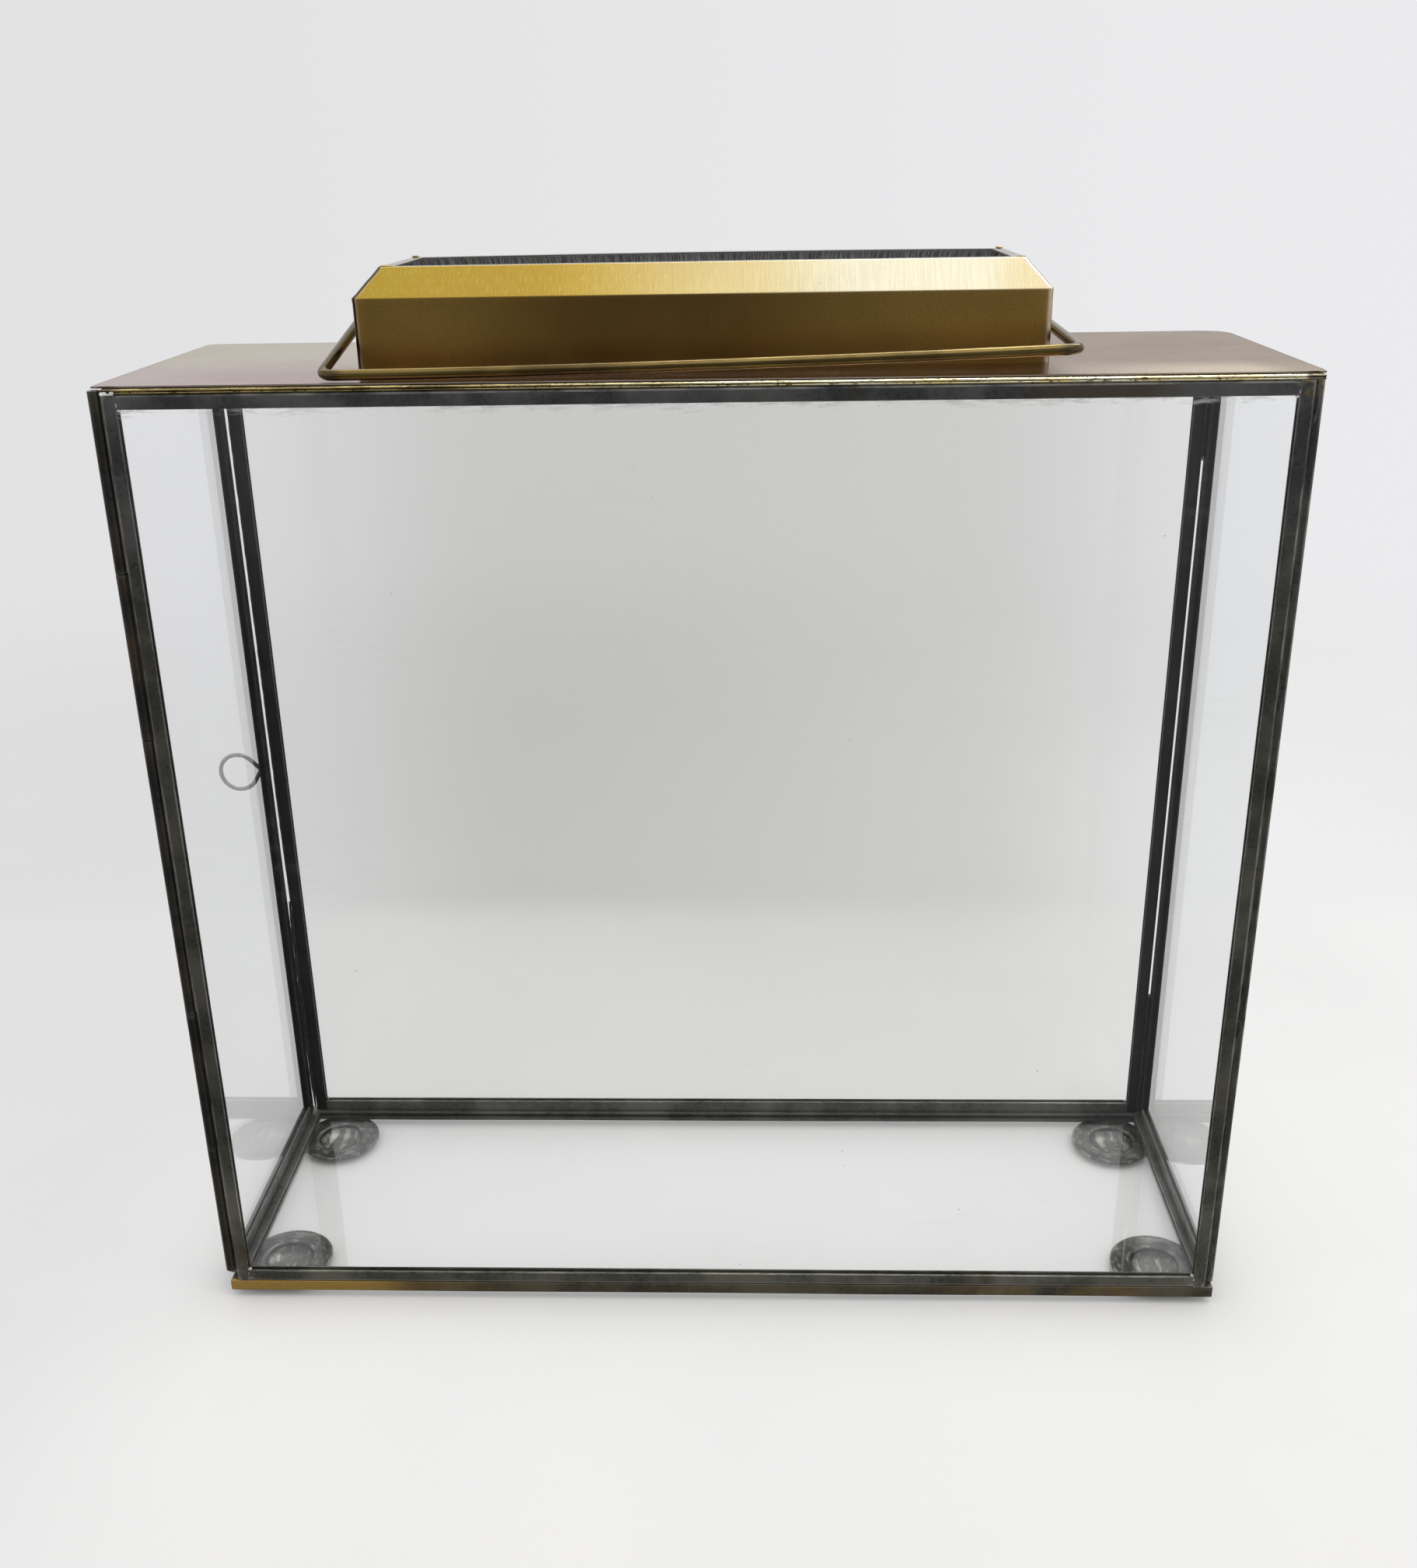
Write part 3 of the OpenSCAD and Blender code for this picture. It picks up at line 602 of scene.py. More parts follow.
def came_strip(node, body, slot, mat, opening, sign, across, seed):
    """A folded strip in the node's own box, slightly wavy, with broken ends."""
    lo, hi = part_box(node)
    along = 3 - opening - across
    width, thick, length = hi[opening] - lo[opening], hi[across] - lo[across], hi[along] - lo[along]
    mid = (lo[across] + hi[across]) / 2
    back = lo[opening] if sign > 0 else hi[opening]
    profile = came_profile(width, thick, LIT_R if node in LIT_STRIPS else CREASE_R)
    lip = BASE_LIP if slot == "base_came" else 0.0
    cuts = max(6, int(length / STATION))
    stations = [0.0, END_EASE] + [length * k / cuts for k in range(1, cuts)] + [length - END_EASE, length]
    rings, edge, uvs = [], [], []
    for s in stations:
        end = END_ROUND if s in (0.0, length) else 0.0
        worn_end = 0.55 if min(s, length - s) < WORN_END else 0.0
        ring = []
        perimeter = 0.0
        for j, (a, b, wear) in enumerate(profile):
            p = Vector((0, 0, 0))
            p[along] = lo[along] + s
            skin = abs(b) > GLASS_HALF * 1.05
            dent = DENT * (1 + wander((s, b * 30, a * 4), 0.034, seed)) if skin else 0.0
            sway = SWAY * (1 + wander((s, b * 90, 0), 0.05, seed + 5)) if a > width * 0.8 and skin else 0.0
            p[opening] = back + sign * (min(max(a - sway, end), width - end))
            reach = abs(b) - dent - (end if skin else 0.0)
            p[across] = mid + math.copysign(max(reach, 0.0), b)
            if lip and b < -GLASS_HALF * 1.05:
                p[across] -= lip * (1 + 0.22 * wander((s, 0, 0), 0.07, seed + 2))
            ring.append(p)
            edge.append(min(1.0, wear + worn_end))
            before = profile[j - 1]
            perimeter += math.hypot(a - before[0], b - before[1]) if j else 0.0
            uvs.append((s * UV_PER_M, perimeter * UV_PER_M))
        rings.append(ring)
    verts, faces = loft(rings)
    make_piece("strip_" + node, verts, faces, mat, body, slot, [node], edge, uvs, 35)


RAILS = (("rail_bottom", Z, 1), ("rail_top", Z, -1))
LONG = (("stile_left", X, 1), ("stile_right", X, -1), *RAILS)
SHORT = (("stile_front", Y, 1), ("stile_back", Y, -1), *RAILS)
FLAT = (("rail_left", X, 1), ("rail_right", X, -1), ("rail_front", Y, 1), ("rail_back", Y, -1))
# panel, its body, its strips with the axis and direction of their slots, and the axis across the glass
PANELS = (("front", "case", LONG, Y), ("back", "case", LONG, Y), ("right", "case", SHORT, X),
          ("door", "door", SHORT, X), ("base", "case", FLAT, Z))
PANE_CELL, PANE_INSET, PANE_RIPPLE = 20 * MM, 0.2 * MM, 0.02 * MM


def glass_pane(node, body, mat, across, seed):
    """A sheet of glass in the node's box with eased edges and a faint ripple."""
    lo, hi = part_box(node)
    u, v = [a for a in (X, Y, Z) if a != across]
    mid, half = (lo[across] + hi[across]) / 2, (hi[across] - lo[across]) / 2
    nu, nv = (max(8, int((hi[a] - lo[a]) / PANE_CELL)) for a in (u, v))
    bm = bmesh.new()
    rims = []
    for side in (-1, 1):
        grid = []
        for i in range(nu + 1):
            row = []
            for j in range(nv + 1):
                p = Vector((0, 0, 0))
                p[u] = lo[u] + PANE_INSET + (hi[u] - lo[u] - 2 * PANE_INSET) * i / nu
                p[v] = lo[v] + PANE_INSET + (hi[v] - lo[v] - 2 * PANE_INSET) * j / nv
                p[across] = mid + side * (half - PANE_RIPPLE * (1 + wander(p, 0.09, seed + side)))
                row.append(bm.verts.new(p))
            grid.append(row)
        for i in range(nu):
            for j in range(nv):
                bm.faces.new((grid[i][j], grid[i + 1][j], grid[i + 1][j + 1], grid[i][j + 1]))
        rims.append([grid[i][0] for i in range(nu)] + [grid[nu][j] for j in range(nv)]
                    + [grid[i][nv] for i in range(nu, 0, -1)] + [grid[0][j] for j in range(nv, 0, -1)])
    near, far = rims
    for k in range(-1, len(near) - 1):
        bm.faces.new((near[k], near[k + 1], far[k + 1], far[k]))
    lets_light_by(make_piece("glass_" + node, *unpack(bm), mat, body, "glass", [node], sharp=30))


LIT_STRIPS = ("front_stile_left", "front_stile_right", "front_rail_top", "front_rail_bottom",
              "right_stile_front", "door_stile_front")
GLASS_UP = glass_sheet("upright_glass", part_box("front_pane")[1].z)
GLASS_FLAT = glass_sheet("base_glass", 0)

for index, (panel, body, strips, across) in enumerate(PANELS):
    flat = panel == "base"
    for k, (strip, opening, sign) in enumerate(strips):
        name = f"{panel}_{strip}"
        # strips that are not lit: base strips and bottom rails take the painted-light copy, the rest the
        # painted-shade copy
        low = CAME_PAINTED_LIGHT if flat or strip == "rail_bottom" else CAME_PAINTED_SHADE
        mat = CAME if name in LIT_STRIPS else CAME_BASE if name == "base_rail_front" else low
        came_strip(name, body, "base_came" if flat else "came", mat, opening, sign, across, index * 4 + k + 1)
    glass_pane(panel + "_pane", body, GLASS_FLAT if flat else GLASS_UP, across, index + 1)


# ---------- lid ----------

def ridged_strip(node, along, outward, seed):
    """Brass strip under the lid whose outer nose is rolled into three uneven ridges."""
    lo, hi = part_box(node)
    depth_axis = Y if along == X else X
    height = hi.z - lo.z
    depth = hi[depth_axis] - lo[depth_axis]
    outer = hi[depth_axis] if outward > 0 else lo[depth_axis]
    profile = [(depth, 0.0, 0), (0.35 * MM, 0.0, 0.2)]
    profile += [(a, b, 0.9) for a, b in arc2(0.40 * MM, 0.42 * MM, 0.38 * MM, 260, 110, 6)]
    profile += [(0.52 * MM, 0.88 * MM, 0.0)]
    profile += [(a, b, 0.9) for a, b in arc2(0.46 * MM, height - 0.50 * MM, 0.42 * MM, 235, 75, 7)]
    profile += [(1.10 * MM, height - 0.26 * MM, 0.0)]
    profile += [(a, b, 0.9) for a, b in arc2(1.85 * MM, height - 0.42 * MM, 0.42 * MM, 150, 30, 5)]
    profile += [(2.5 * MM, height - 0.24 * MM, 0.0), (2.9 * MM, height - 0.10 * MM, 0.8), (3.6 * MM, height, 0.8),
                (depth, height, 0.8)]
    length = hi[along] - lo[along]
    cuts = int(length / 0.0016)
    rings, edge, uvs = [], [], []
    for i in range(cuts + 1):
        s = length * i / cuts
        ring = []
        for j, (a, b, wear) in enumerate(profile):
            p = Vector((0, 0, 0))
            p[along] = lo[along] + s
            front = a < 3 * MM
            dent = 0.13 * MM * max(0.0, wander((s, j * 0.004, 0), 0.0045, seed) - 0.12) if front else 0.0
            slow = 0.07 * MM * (1 + wander((s, j * 0.001, 3), 0.04, seed)) if front else 0.0
            p[depth_axis] = outer - outward * (a + (dent + slow if a < 2 * MM else 0))
            p.z = lo.z + max(0.0, b - (dent + slow if b > height * 0.5 else 0))
            ring.append(p)
            edge.append(wear)
            uvs.append((s * UV_PER_M, j * 0.05))
        rings.append(ring)
    verts, faces = loft(rings)
    make_piece("ridged_" + node, verts, faces, BRIGHT, "case", "bright_brass", [node], edge, uvs, 50)


ridged_strip("lid_strip_front", X, -1, 2)
ridged_strip("lid_strip_back", X, 1, 3)
ridged_strip("lid_strip_right", Y, 1, 4)


def lid_sheet():
    """Thin sheet with rounded back corners and the vent's throat cut out, very slightly wavy."""
    lo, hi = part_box("lid_plate")
    throat_lo, throat_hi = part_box("vent_front")[0].copy(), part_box("vent_back")[1].copy()
    for corner, s in ((throat_lo, 1), (throat_hi, -1)):
        corner.x += s * 8 * MM
        corner.y += s * 8 * MM
    bm = bmesh.new()
    nx, ny = 116, 36
    xs = sorted({lo.x + (hi.x - lo.x) * i / nx for i in range(nx + 1)} | {throat_lo.x, throat_hi.x})
    ys = sorted({lo.y + (hi.y - lo.y) * j / ny for j in range(ny + 1)} | {throat_lo.y, throat_hi.y})
    radii = {(0, 0): 0.8 * MM, (1, 0): 1.2 * MM, (1, 1): 11 * MM, (0, 1): 4 * MM}

    def settle(x, y):
        """Moves a point of the square grid's edge on to the rounded corner."""
        right, rear = int(x > (lo.x + hi.x) / 2), int(y > (lo.y + hi.y) / 2)
        r = radii[right, rear]
        cx = hi.x - r if right else lo.x + r
        cy = hi.y - r if rear else lo.y + r
        dx, dy = x - cx, y - cy
        if dx * (1 if right else -1) > 0 and dy * (1 if rear else -1) > 0:
            square = max(abs(dx), abs(dy))
            round_ = math.hypot(dx, dy)
            if round_ > 0:
                return cx + dx * square / round_, cy + dy * square / round_
        return x, y

    def skip(i, j):
        return (throat_lo.x - 1e-6 <= xs[i] and xs[i + 1] <= throat_hi.x + 1e-6
                and throat_lo.y - 1e-6 <= ys[j] and ys[j + 1] <= throat_hi.y + 1e-6)

    top, low = {}, {}
    for i, gx in enumerate(xs):
        for j, gy in enumerate(ys):
            x, y = settle(gx, gy)
            dip = 0.10 * MM * (1 + wander((x, y, 0), 0.11, 9)) + 0.008 * MM * wander((x, y, 0), 0.03, 4)
            rim = min(x - lo.x, hi.x - x, y - lo.y, hi.y - y) < 0.1 * MM
            top[i, j] = bm.verts.new((x, y, hi.z - max(0.0, dip) * (0.3 if rim else 1)))
            low[i, j] = bm.verts.new((x, y, lo.z))
    for i in range(len(xs) - 1):
        for j in range(len(ys) - 1):
            if skip(i, j):
                continue
            quad = ((i, j), (i + 1, j), (i + 1, j + 1), (i, j + 1))
            bm.faces.new([top[q] for q in quad])
            bm.faces.new([low[q] for q in reversed(quad)])
    borders = [e for e in bm.edges if len(e.link_faces) == 1]
    tops = {v: low[k] for k, v in top.items()}
    for e in borders:
        if e.verts[0] in tops and e.verts[1] in tops:
            a, b = e.verts
            bm.faces.new((a, b, tops[b], tops[a]))
    bmesh.ops.delete(bm, geom=[v for v in bm.verts if not v.link_faces], context="VERTS")
    verts, faces = unpack(bm)
    edge = [1.0 if min(v.x - lo.x, hi.x - v.x, v.y - lo.y, hi.y - v.y) < 0.1 * MM else 0.0 for v in verts]
    piece = make_piece("lid_sheet", verts, faces, LID, "case", "lid_sheet", ["lid_plate"], edge, None, 40)
    bevel = piece.modifiers.new("eased_edges", "BEVEL")
    bevel.width, bevel.segments, bevel.limit_method = 0.16 * MM, 2, "ANGLE"
    bevel.angle_limit = math.radians(60)
    lets_light_by(piece)


lid_sheet()


# ---------- vent box ----------

SLOPE_IN = 9.4 * MM
LIP = 5 * MM
SHEET = 0.8 * MM


def vent_hood():
    """The folded box: upright walls, sloping collar and a flat inward lip, as one skin inside and out."""
    lo, hi = VENT_LO, VENT_HI
    z0 = LID_TOP - 0.1 * MM
    fold = z0 + 0.1 * MM + FOLD_H
    top = hi.z
    lean = math.degrees(math.atan2(SLOPE_IN, top - fold))
    r = 0.7 * MM
    stations = [(0, z0, 0.3), (0, z0 + 1.2 * MM, 0)]
    stations += [(0, z0 + (fold - z0) * s, 0) for s in (0.15, 0.35, 0.55, 0.75, 0.92)]
    stations += [(r - r * math.cos(math.radians(lean * k / 4)), fold - r * (0.4 - k * 0.2), 0.75) for k in range(5)]
    stations += [(SLOPE_IN * s, fold + (top - fold) * s, 0) for s in (0.12, 0.3, 0.5, 0.7, 0.88)]
    stations += [(SLOPE_IN - 0.35 * MM, top - 0.5 * MM, 0.6), (SLOPE_IN - 0.05 * MM, top - 0.14 * MM, 0.9),
                 (SLOPE_IN + 0.45 * MM, top, 0.7)]
    stations += [(SLOPE_IN + LIP * s, top, 0.1) for s in (0.4, 0.75)]
    stations += [(SLOPE_IN + LIP - 0.1 * MM, top - 0.02 * MM, 0.8), (SLOPE_IN + LIP, top - 0.25 * MM, 0.8),
                 (SLOPE_IN + LIP, top - 0.6 * MM, 0.6), (SLOPE_IN + LIP - 0.15 * MM, top - SHEET, 0.2)]
    stations += [(SLOPE_IN + 1.2 * MM, top - SHEET, 0), (SLOPE_IN + 0.5 * MM, top - SHEET - 0.5 * MM, 0)]
    stations += [(SLOPE_IN * s + 0.6 * MM, fold + (top - fold) * s - 0.5 * MM, 0) for s in (0.8, 0.4)]
    stations += [(SHEET, fold - 0.4 * MM, 0), (SHEET, z0 + FOLD_H * 0.5, 0), (SHEET, z0, 0)]
    lip_row = next(i for i, station in enumerate(stations) if station[0] > SLOPE_IN)
    dark_row = next(i for i, station in enumerate(stations) if station[1] <= top - 0.6 * MM and i > lip_row)
    rings, edge, uvs, zone = [], [], [], []
    for row, (inset, z, wear) in enumerate(stations):
        a = Vector((lo.x + inset, lo.y + inset, 0))
        b = Vector((hi.x - inset, hi.y - inset, 0))
        radius = 0.6 * MM if row > lip_row or inset > SLOPE_IN + 1 * MM else 2.4 * MM
        nx, ny, n = 66, 22, 8
        ring, marks = [], []
        corners = ((a.x + radius, a.y + radius, 180), (b.x - radius, a.y + radius, 270),
                   (b.x - radius, b.y - radius, 0), (a.x + radius, b.y - radius, 90))
        for c, (cx, cy, a0) in enumerate(corners):
            bend = [Vector((px, py, 0)) for px, py in arc2(cx, cy, radius, a0, a0 + 90, n)]
            ring += bend
            # edge marks for the two front corners: above 0 a painted highlight, below 0 painted shade
            bent = ([-1.0] * 6 + [-0.7, 0.9, 0.5], [0.5, 0.9, 1.0, 1.0, 0.9, -0.3, -1.0, -1.0, -1.0])
            marks += bent[c] if c < 2 else [0.5] * (n + 1)
            nxt = corners[(c + 1) % 4]
            start = bend[-1]
            first = arc2(nxt[0], nxt[1], radius, nxt[2], nxt[2] + 90, n)[0]
            end = Vector((first[0], first[1], 0))
            cuts = nx if c % 2 == 0 else ny
            ring += [start.lerp(end, k / cuts) for k in range(1, cuts)]
            marks += [0.0] * (cuts - 1)
        for k, p in enumerate(ring):
            q = p.copy()
            across = p.x if abs(p.y - (lo.y + hi.y) / 2) > (hi.y - lo.y) / 2 - inset - radius * 0.5 else p.y
            height = (z - z0) / (top - z0)
            if wear < 0.3 and inset < SLOPE_IN:
                push = 0.16 * MM * wander((p.x, p.y, z), 0.05, 12) * math.sin(math.pi * min(1, height * 1.2))
                q += (Vector(((lo.x + hi.x) / 2, (lo.y + hi.y) / 2, 0)) - p).normalized() * (push + 0.16 * MM)
            q.z = z
            if height > 0.9:
                rear = (p.y - lo.y) / (hi.y - lo.y)
                along = (p.x - lo.x) / (hi.x - lo.x)
                q.z -= rear * 0.7 * MM * (2 * along - 1) ** 2 + (1 - rear) * 0.15 * MM * (1 + wander(p, 0.06, 3))
            ring[k] = q
            outside = row < lip_row
            edge.append(marks[k] if outside and abs(marks[k]) > 0.25 else wear * 0.5 if outside else 0.0)
            uvs.append((across * UV_PER_M, z * UV_PER_M))
            zone.append(0.0 if outside else 1.0 if row < dark_row else 2.0)
        rings.append(ring)
    verts, faces = loft(rings, capped=False)
    around = len(rings[0])
    last = (len(rings) - 1) * around
    faces += [(last + j, last + (j + 1) % around, (j + 1) % around, j) for j in range(around)]
    return make_piece("vent_hood", verts, faces, BRUSHED, "case", "brushed_brass",
                      ["vent_front", "vent_back", "vent_left_end", "vent_right_end"], edge, uvs, 50, zone)


hood = vent_hood()
lets_light_by(hood)


def cut_round_hole(piece, start, end, radius):
    """Cuts a round hole through piece along start-end, for good."""
    rings = tube_rings([start.lerp(end, k / 2) for k in range(3)], radius, 40)
    cutter = bpy.data.objects.new("cutter", outward_mesh("cutter", *loft(rings)))
    bpy.context.scene.collection.objects.link(cutter)
    cut = piece.modifiers.new("hole", "BOOLEAN")
    cut.operation, cut.object, cut.solver = "DIFFERENCE", cutter, "EXACT"
    bpy.context.view_layer.update()
    evaluated = piece.evaluated_get(bpy.context.evaluated_depsgraph_get())
    fresh = bpy.data.meshes.new_from_object(evaluated)
    piece.modifiers.remove(cut)
    piece.data = fresh
    bpy.data.objects.remove(cutter)


PIVOT = next(j for j in frame["joints"] if j["name"] == "handle_pivot")
AXLE = Vector(PIVOT["pos_m"])
HEADING = Vector(PIVOT["axis"]).normalized()
if HEADING.x < 0:
    HEADING = -HEADING


def on_axle(x):
    """The point of the bail's axle line that has this x."""
    return AXLE + HEADING * ((x - AXLE.x) / HEADING.x)


WIRE_R = 2.1 * MM
for x in (VENT_LO.x, VENT_HI.x):
    cut_round_hole(hood, on_axle(x - 4 * MM), on_axle(x + 4 * MM), WIRE_R + 0.12 * MM)


# ---------- bail handle ----------

def bail():
    """The wire handle: two axle ends and a sagging bar that rises to the right."""
    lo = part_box("bail_handle")[0]
    centre = AXLE.x
    arm = 139.6 * MM
    stub = 130.5 * MM
    y = lo.y + WIRE_R * 1.02
    path = rounded_path(
        [on_axle(centre - stub), on_axle(centre - arm),
         Vector((centre - arm - 2 * MM, y, LID_TOP + 2.3 * MM)),
         Vector((centre + arm + 1.4 * MM, y + 2 * MM, LID_TOP + 8 * MM)),
         on_axle(centre + arm), on_axle(centre + stub)],
        [0, 3.2 * MM, 5 * MM, 5 * MM, 3.2 * MM, 0])
    for p in path:
        if p.y < y + 8 * MM:
            t = (p.x - centre) / arm
            near = max(0.0, 1 - (p.y - y) / (8 * MM))
            p.z -= 1.1 * MM * max(0.0, 1 - t * t) * near
            p.z += 0.10 * MM * wander((p.x, 0, 0), 0.03, 2)
    rings = tube_rings(path, WIRE_R, 24, 0.03, 3)
    for end, inner in ((0, 1), (-1, -2)):
        centre_point = path[end]
        cap = [centre_point + (p - centre_point) * 0.82 for p in rings[end]]
        step = (path[end] - path[inner]).normalized() * 0.35 * MM
        rings.insert(0 if end == 0 else len(rings), [p + step for p in cap])
    verts, faces = loft(rings)
    uvs = [(i * 0.04, j / 24) for i in range(len(rings)) for j in range(24)]
    make_piece("bail_wire", verts, faces, BAIL, "handle", "dark_brass", ["bail_handle"],
               [0.0] * len(verts), uvs, 40)


bail()


# ---------- hinge ----------

def lathe(name, profile, centre, mat, body, slot, replaced, segments=72, warp=0.0, seed=0, sharp=35):
    """Turned piece from (radius, z, wear) points; the loop is closed unless it starts and ends on the axis."""
    verts, edge, uvs, rows = [], [], [], []
    for r, z, wear in profile:
        row = []
        if r < 1e-7:
            row = [len(verts)]
            verts.append(Vector((centre.x, centre.y, z)))
            edge.append(wear)
            uvs.append((0, 0))
        else:
            for k in range(segments):
                a = 2 * math.pi * k / segments
                swell = 1 - warp * (1 + wander((math.cos(a), math.sin(a), 0), 0.8, seed)) / 2
                row.append(len(verts))
                verts.append(Vector((centre.x + r * swell * math.cos(a), centre.y + r * swell * math.sin(a), z)))
                edge.append(wear)
                uvs.append((a, r * UV_PER_M))
        rows.append(row)
    faces = []
    closed = len(rows[0]) > 1 or len(rows[-1]) > 1
    for i in range(len(rows) if closed else len(rows) - 1):
        a, b = rows[i], rows[(i + 1) % len(rows)]
        for k in range(segments):
            m = (k + 1) % segments
            if len(a) == 1 and len(b) == 1:
                continue
            if len(a) == 1:
                faces.append((a[0], b[m], b[k]))
            elif len(b) == 1:
                faces.append((a[k], a[m], b[0]))
            else:
                faces.append((a[k], a[m], b[m], b[k]))
    return make_piece(name, verts, faces, mat, body, slot, replaced, edge, uvs, sharp)


PIN_R = 1.1 * MM
TUBE_R = 2.3 * MM
pin_lo, pin_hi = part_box("hinge_pin")
HINGE_C = (pin_lo + pin_hi) / 2


def knuckle(node, body, towards_y):
    """Rolled tube with eased rims and the solder web that joins it to its stile."""
    lo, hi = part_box(node)
    z0, z1 = lo.z, hi.z
    bore = PIN_R + 0.05 * MM
    rim = 0.22 * MM
    cuts = max(3, int((z1 - z0) / 0.008))
    profile = [(TUBE_R - rim, z0, 0.9), (TUBE_R - 0.06 * MM, z0 + 0.06 * MM, 1.0), (TUBE_R, z0 + rim, 0.7)]
    profile += [(TUBE_R - 0.03 * MM * (1 + wander((0, 0, z0 + (z1 - z0) * k / cuts), 0.02)),
                 z0 + (z1 - z0) * k / cuts, 0.0) for k in range(1, cuts)]
    profile += [(TUBE_R, z1 - rim, 0.7), (TUBE_R - 0.06 * MM, z1 - 0.06 * MM, 1.0), (TUBE_R - rim, z1, 0.9)]
    profile += [(bore, z1, 0.5), (bore, z0, 0.5)]
    lathe("tube_" + node, profile, HINGE_C, HINGE, body, "hinge_tube", [node], 40)
    reach = (hi.y if towards_y else hi.x) - (HINGE_C.y if towards_y else HINGE_C.x)
    rings, edge = [], []
    steps = max(4, int((z1 - z0) / 0.003))
    for i in range(steps + 1):
        z = z0 + (z1 - z0) * i / steps
        lump = 0.25 * MM * wander((0, 0, z), 0.006, 8 if towards_y else 9)
        shape = [(1.25 * MM, -1.15 * MM), (reach * 0.8, -1.0 * MM - lump), (reach, -1.15 * MM - lump),
                 (reach, 1.15 * MM + lump), (reach * 0.8, 1.0 * MM + lump), (1.25 * MM, 1.15 * MM)]
        ring = []
        for a, b in shape:
            x, y = (b, a) if towards_y else (a, b)
            ring.append(Vector((HINGE_C.x + x, HINGE_C.y + y, z)))
            edge.append(0.2)
        rings.append(ring)
    verts, faces = loft(rings)
    make_piece("web_" + node, verts, faces, HINGE, body, "hinge_tube", (), edge, None, 60)


for node in ("door_knuckle_top", "door_knuckle_middle", "door_knuckle_bottom"):
    knuckle(node, "door", True)
for node in ("frame_knuckle_upper", "frame_knuckle_lower"):
    knuckle(node, "case", False)

lathe("pin_wire", [(0, pin_lo.z, 0.5), (PIN_R * 0.8, pin_lo.z + 0.02 * MM, 0.9), (PIN_R, pin_lo.z + 0.3 * MM, 0.9),
                   (PIN_R, (pin_lo.z + pin_hi.z) / 2, 0), (PIN_R, pin_hi.z - 0.3 * MM, 0.9),
                   (PIN_R * 0.8, pin_hi.z - 0.02 * MM, 0.9), (0, pin_hi.z, 0.5)],
      HINGE_C, HINGE, "case", "hinge_wire", ["hinge_pin"], 32)


# ---------- pull ring ----------

def pull_ring():
    """A wire bent into a ring, whose two ends meet in the door's front stile."""
    lo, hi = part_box("pull_ring")
    r = 1.1 * MM
    big = (hi.z - lo.z) / 2 - r
    mid = Vector((lo.x + r + big, (lo.y + hi.y) / 2, (lo.z + hi.z) / 2))
    tip = Vector((hi.x, mid.y, mid.z + 1.2 * MM))
    aim = math.atan2(tip.z - mid.z, tip.x - mid.x)
    spread = math.acos(big / (tip - mid).length)
    loop = [mid + Vector((math.cos(a), 0, math.sin(a))) * big
            for a in (aim + spread + (2 * math.pi - 2 * spread) * k / 64 for k in range(65))]
    ends = [tip + Vector((-0.2 * MM, 0.0, 0.5 * MM)), tip + Vector((-0.2 * MM, 0.0, -0.5 * MM))]
    lead = [ends[0].lerp(loop[0], k / 6) for k in range(6)]
    tail = [loop[-1].lerp(ends[1], k / 6) for k in range(1, 7)]
    rings = tube_rings(lead + loop + tail, r * 0.985, 20, 0.02, 5)
    verts, faces = loft(rings)
    edge = [0.0] * len(verts)
    make_piece("ring_wire", verts, faces, NICKEL, "door", "pewter", ["pull_ring"], edge, None, 40)


pull_ring()


# ---------- feet ----------

def foot(node, seed):
    """A pressed dish with a rolled rim, a bowl with a ring of painted shade near its top, and a worn middle; rim,
    bowl and middle also take painted highlight patches.
    """
    lo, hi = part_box(node)
    centre = (lo + hi) / 2
    outer = (hi.x - lo.x) / 2
    top, low = hi.z, lo.z
    t = 1.0 * MM
    cup = 11.75 * MM
    flat_r = 4 * MM
    drop = top - low - t
    curve = [((cup - flat_r) * math.sin(a), drop * (1 - math.cos(a))) for a in
             (math.radians(9 * k) for k in range(11))]
    bowl = [(flat_r - t * 0.6 + out, low + t + up) for out, up in reversed(curve)]
    profile = [(0, low, 0)] + [(flat_r + out, low + up, 0) for out, up in curve]
    profile += [(cup + 2 * MM, top - t, 0), (outer - 1.4 * MM, top - t, 0), (outer - 1 * MM, top - 1.6 * MM, 0.4),
                (outer - 0.3 * MM, top - 1.6 * MM, 0.9), (outer, top - 1.2 * MM, 0.9),
                (outer, top - 0.35 * MM, 0.9), (outer - 0.3 * MM, top, 0.9), (outer - 1.3 * MM, top - 0.05 * MM, 0.2),
                (outer - 2.6 * MM, top - 0.35 * MM, 0), (cup + 4 * MM, top - 0.30 * MM, 0),
                (cup + 1.6 * MM, top - 0.08 * MM, 0.3), (cup + 0.7 * MM, top, 0.7), (cup + 0.2 * MM, top - 0.3 * MM, 0.4)]
    # -0.75 marks the painted shade at the top of the bowl; 0.75 marks wear that also takes painted highlight patches
    profile += [(r, z - 0.12 * MM if k else z - 0.5 * MM, -0.75 if k < 3 else 0.75) for k, (r, z) in enumerate(bowl)]
    profile += [(flat_r * 0.45, low + t - 0.05 * MM, 1.0), (0, low + t + 0.12 * MM, 1.0)]
    lathe("dish_" + node, profile, centre, PEWTER, "case", "pewter", [node], 96, 0.012, seed, 45)


for seed, node in enumerate(("foot_front_left", "foot_front_right", "foot_back_left", "foot_back_right")):
    foot(node, seed)


# ---------- solder ----------

def blob(centre, size, seed, limit):
    """A frozen drop: a lumpy flattened ball whose points are clipped to the box limit."""
    bm = bmesh.new()
    bmesh.ops.create_icosphere(bm, subdivisions=3, radius=1.0)
    ball, faces = unpack(bm)
    verts = []
    for p in ball:
        swell = 1 + 0.22 * wander(p, 0.9, seed) + 0.08 * wander(p, 0.35, seed + 1)
        q = Vector((p.x * size[0], p.y * size[1], p.z * size[2])) * swell + Vector(centre)
        verts.append(Vector([min(max(c, low), high) for c, low, high in zip(q, *limit)]))
    return verts, faces, [max(0.0, p.z) * 0.4 for p in ball]


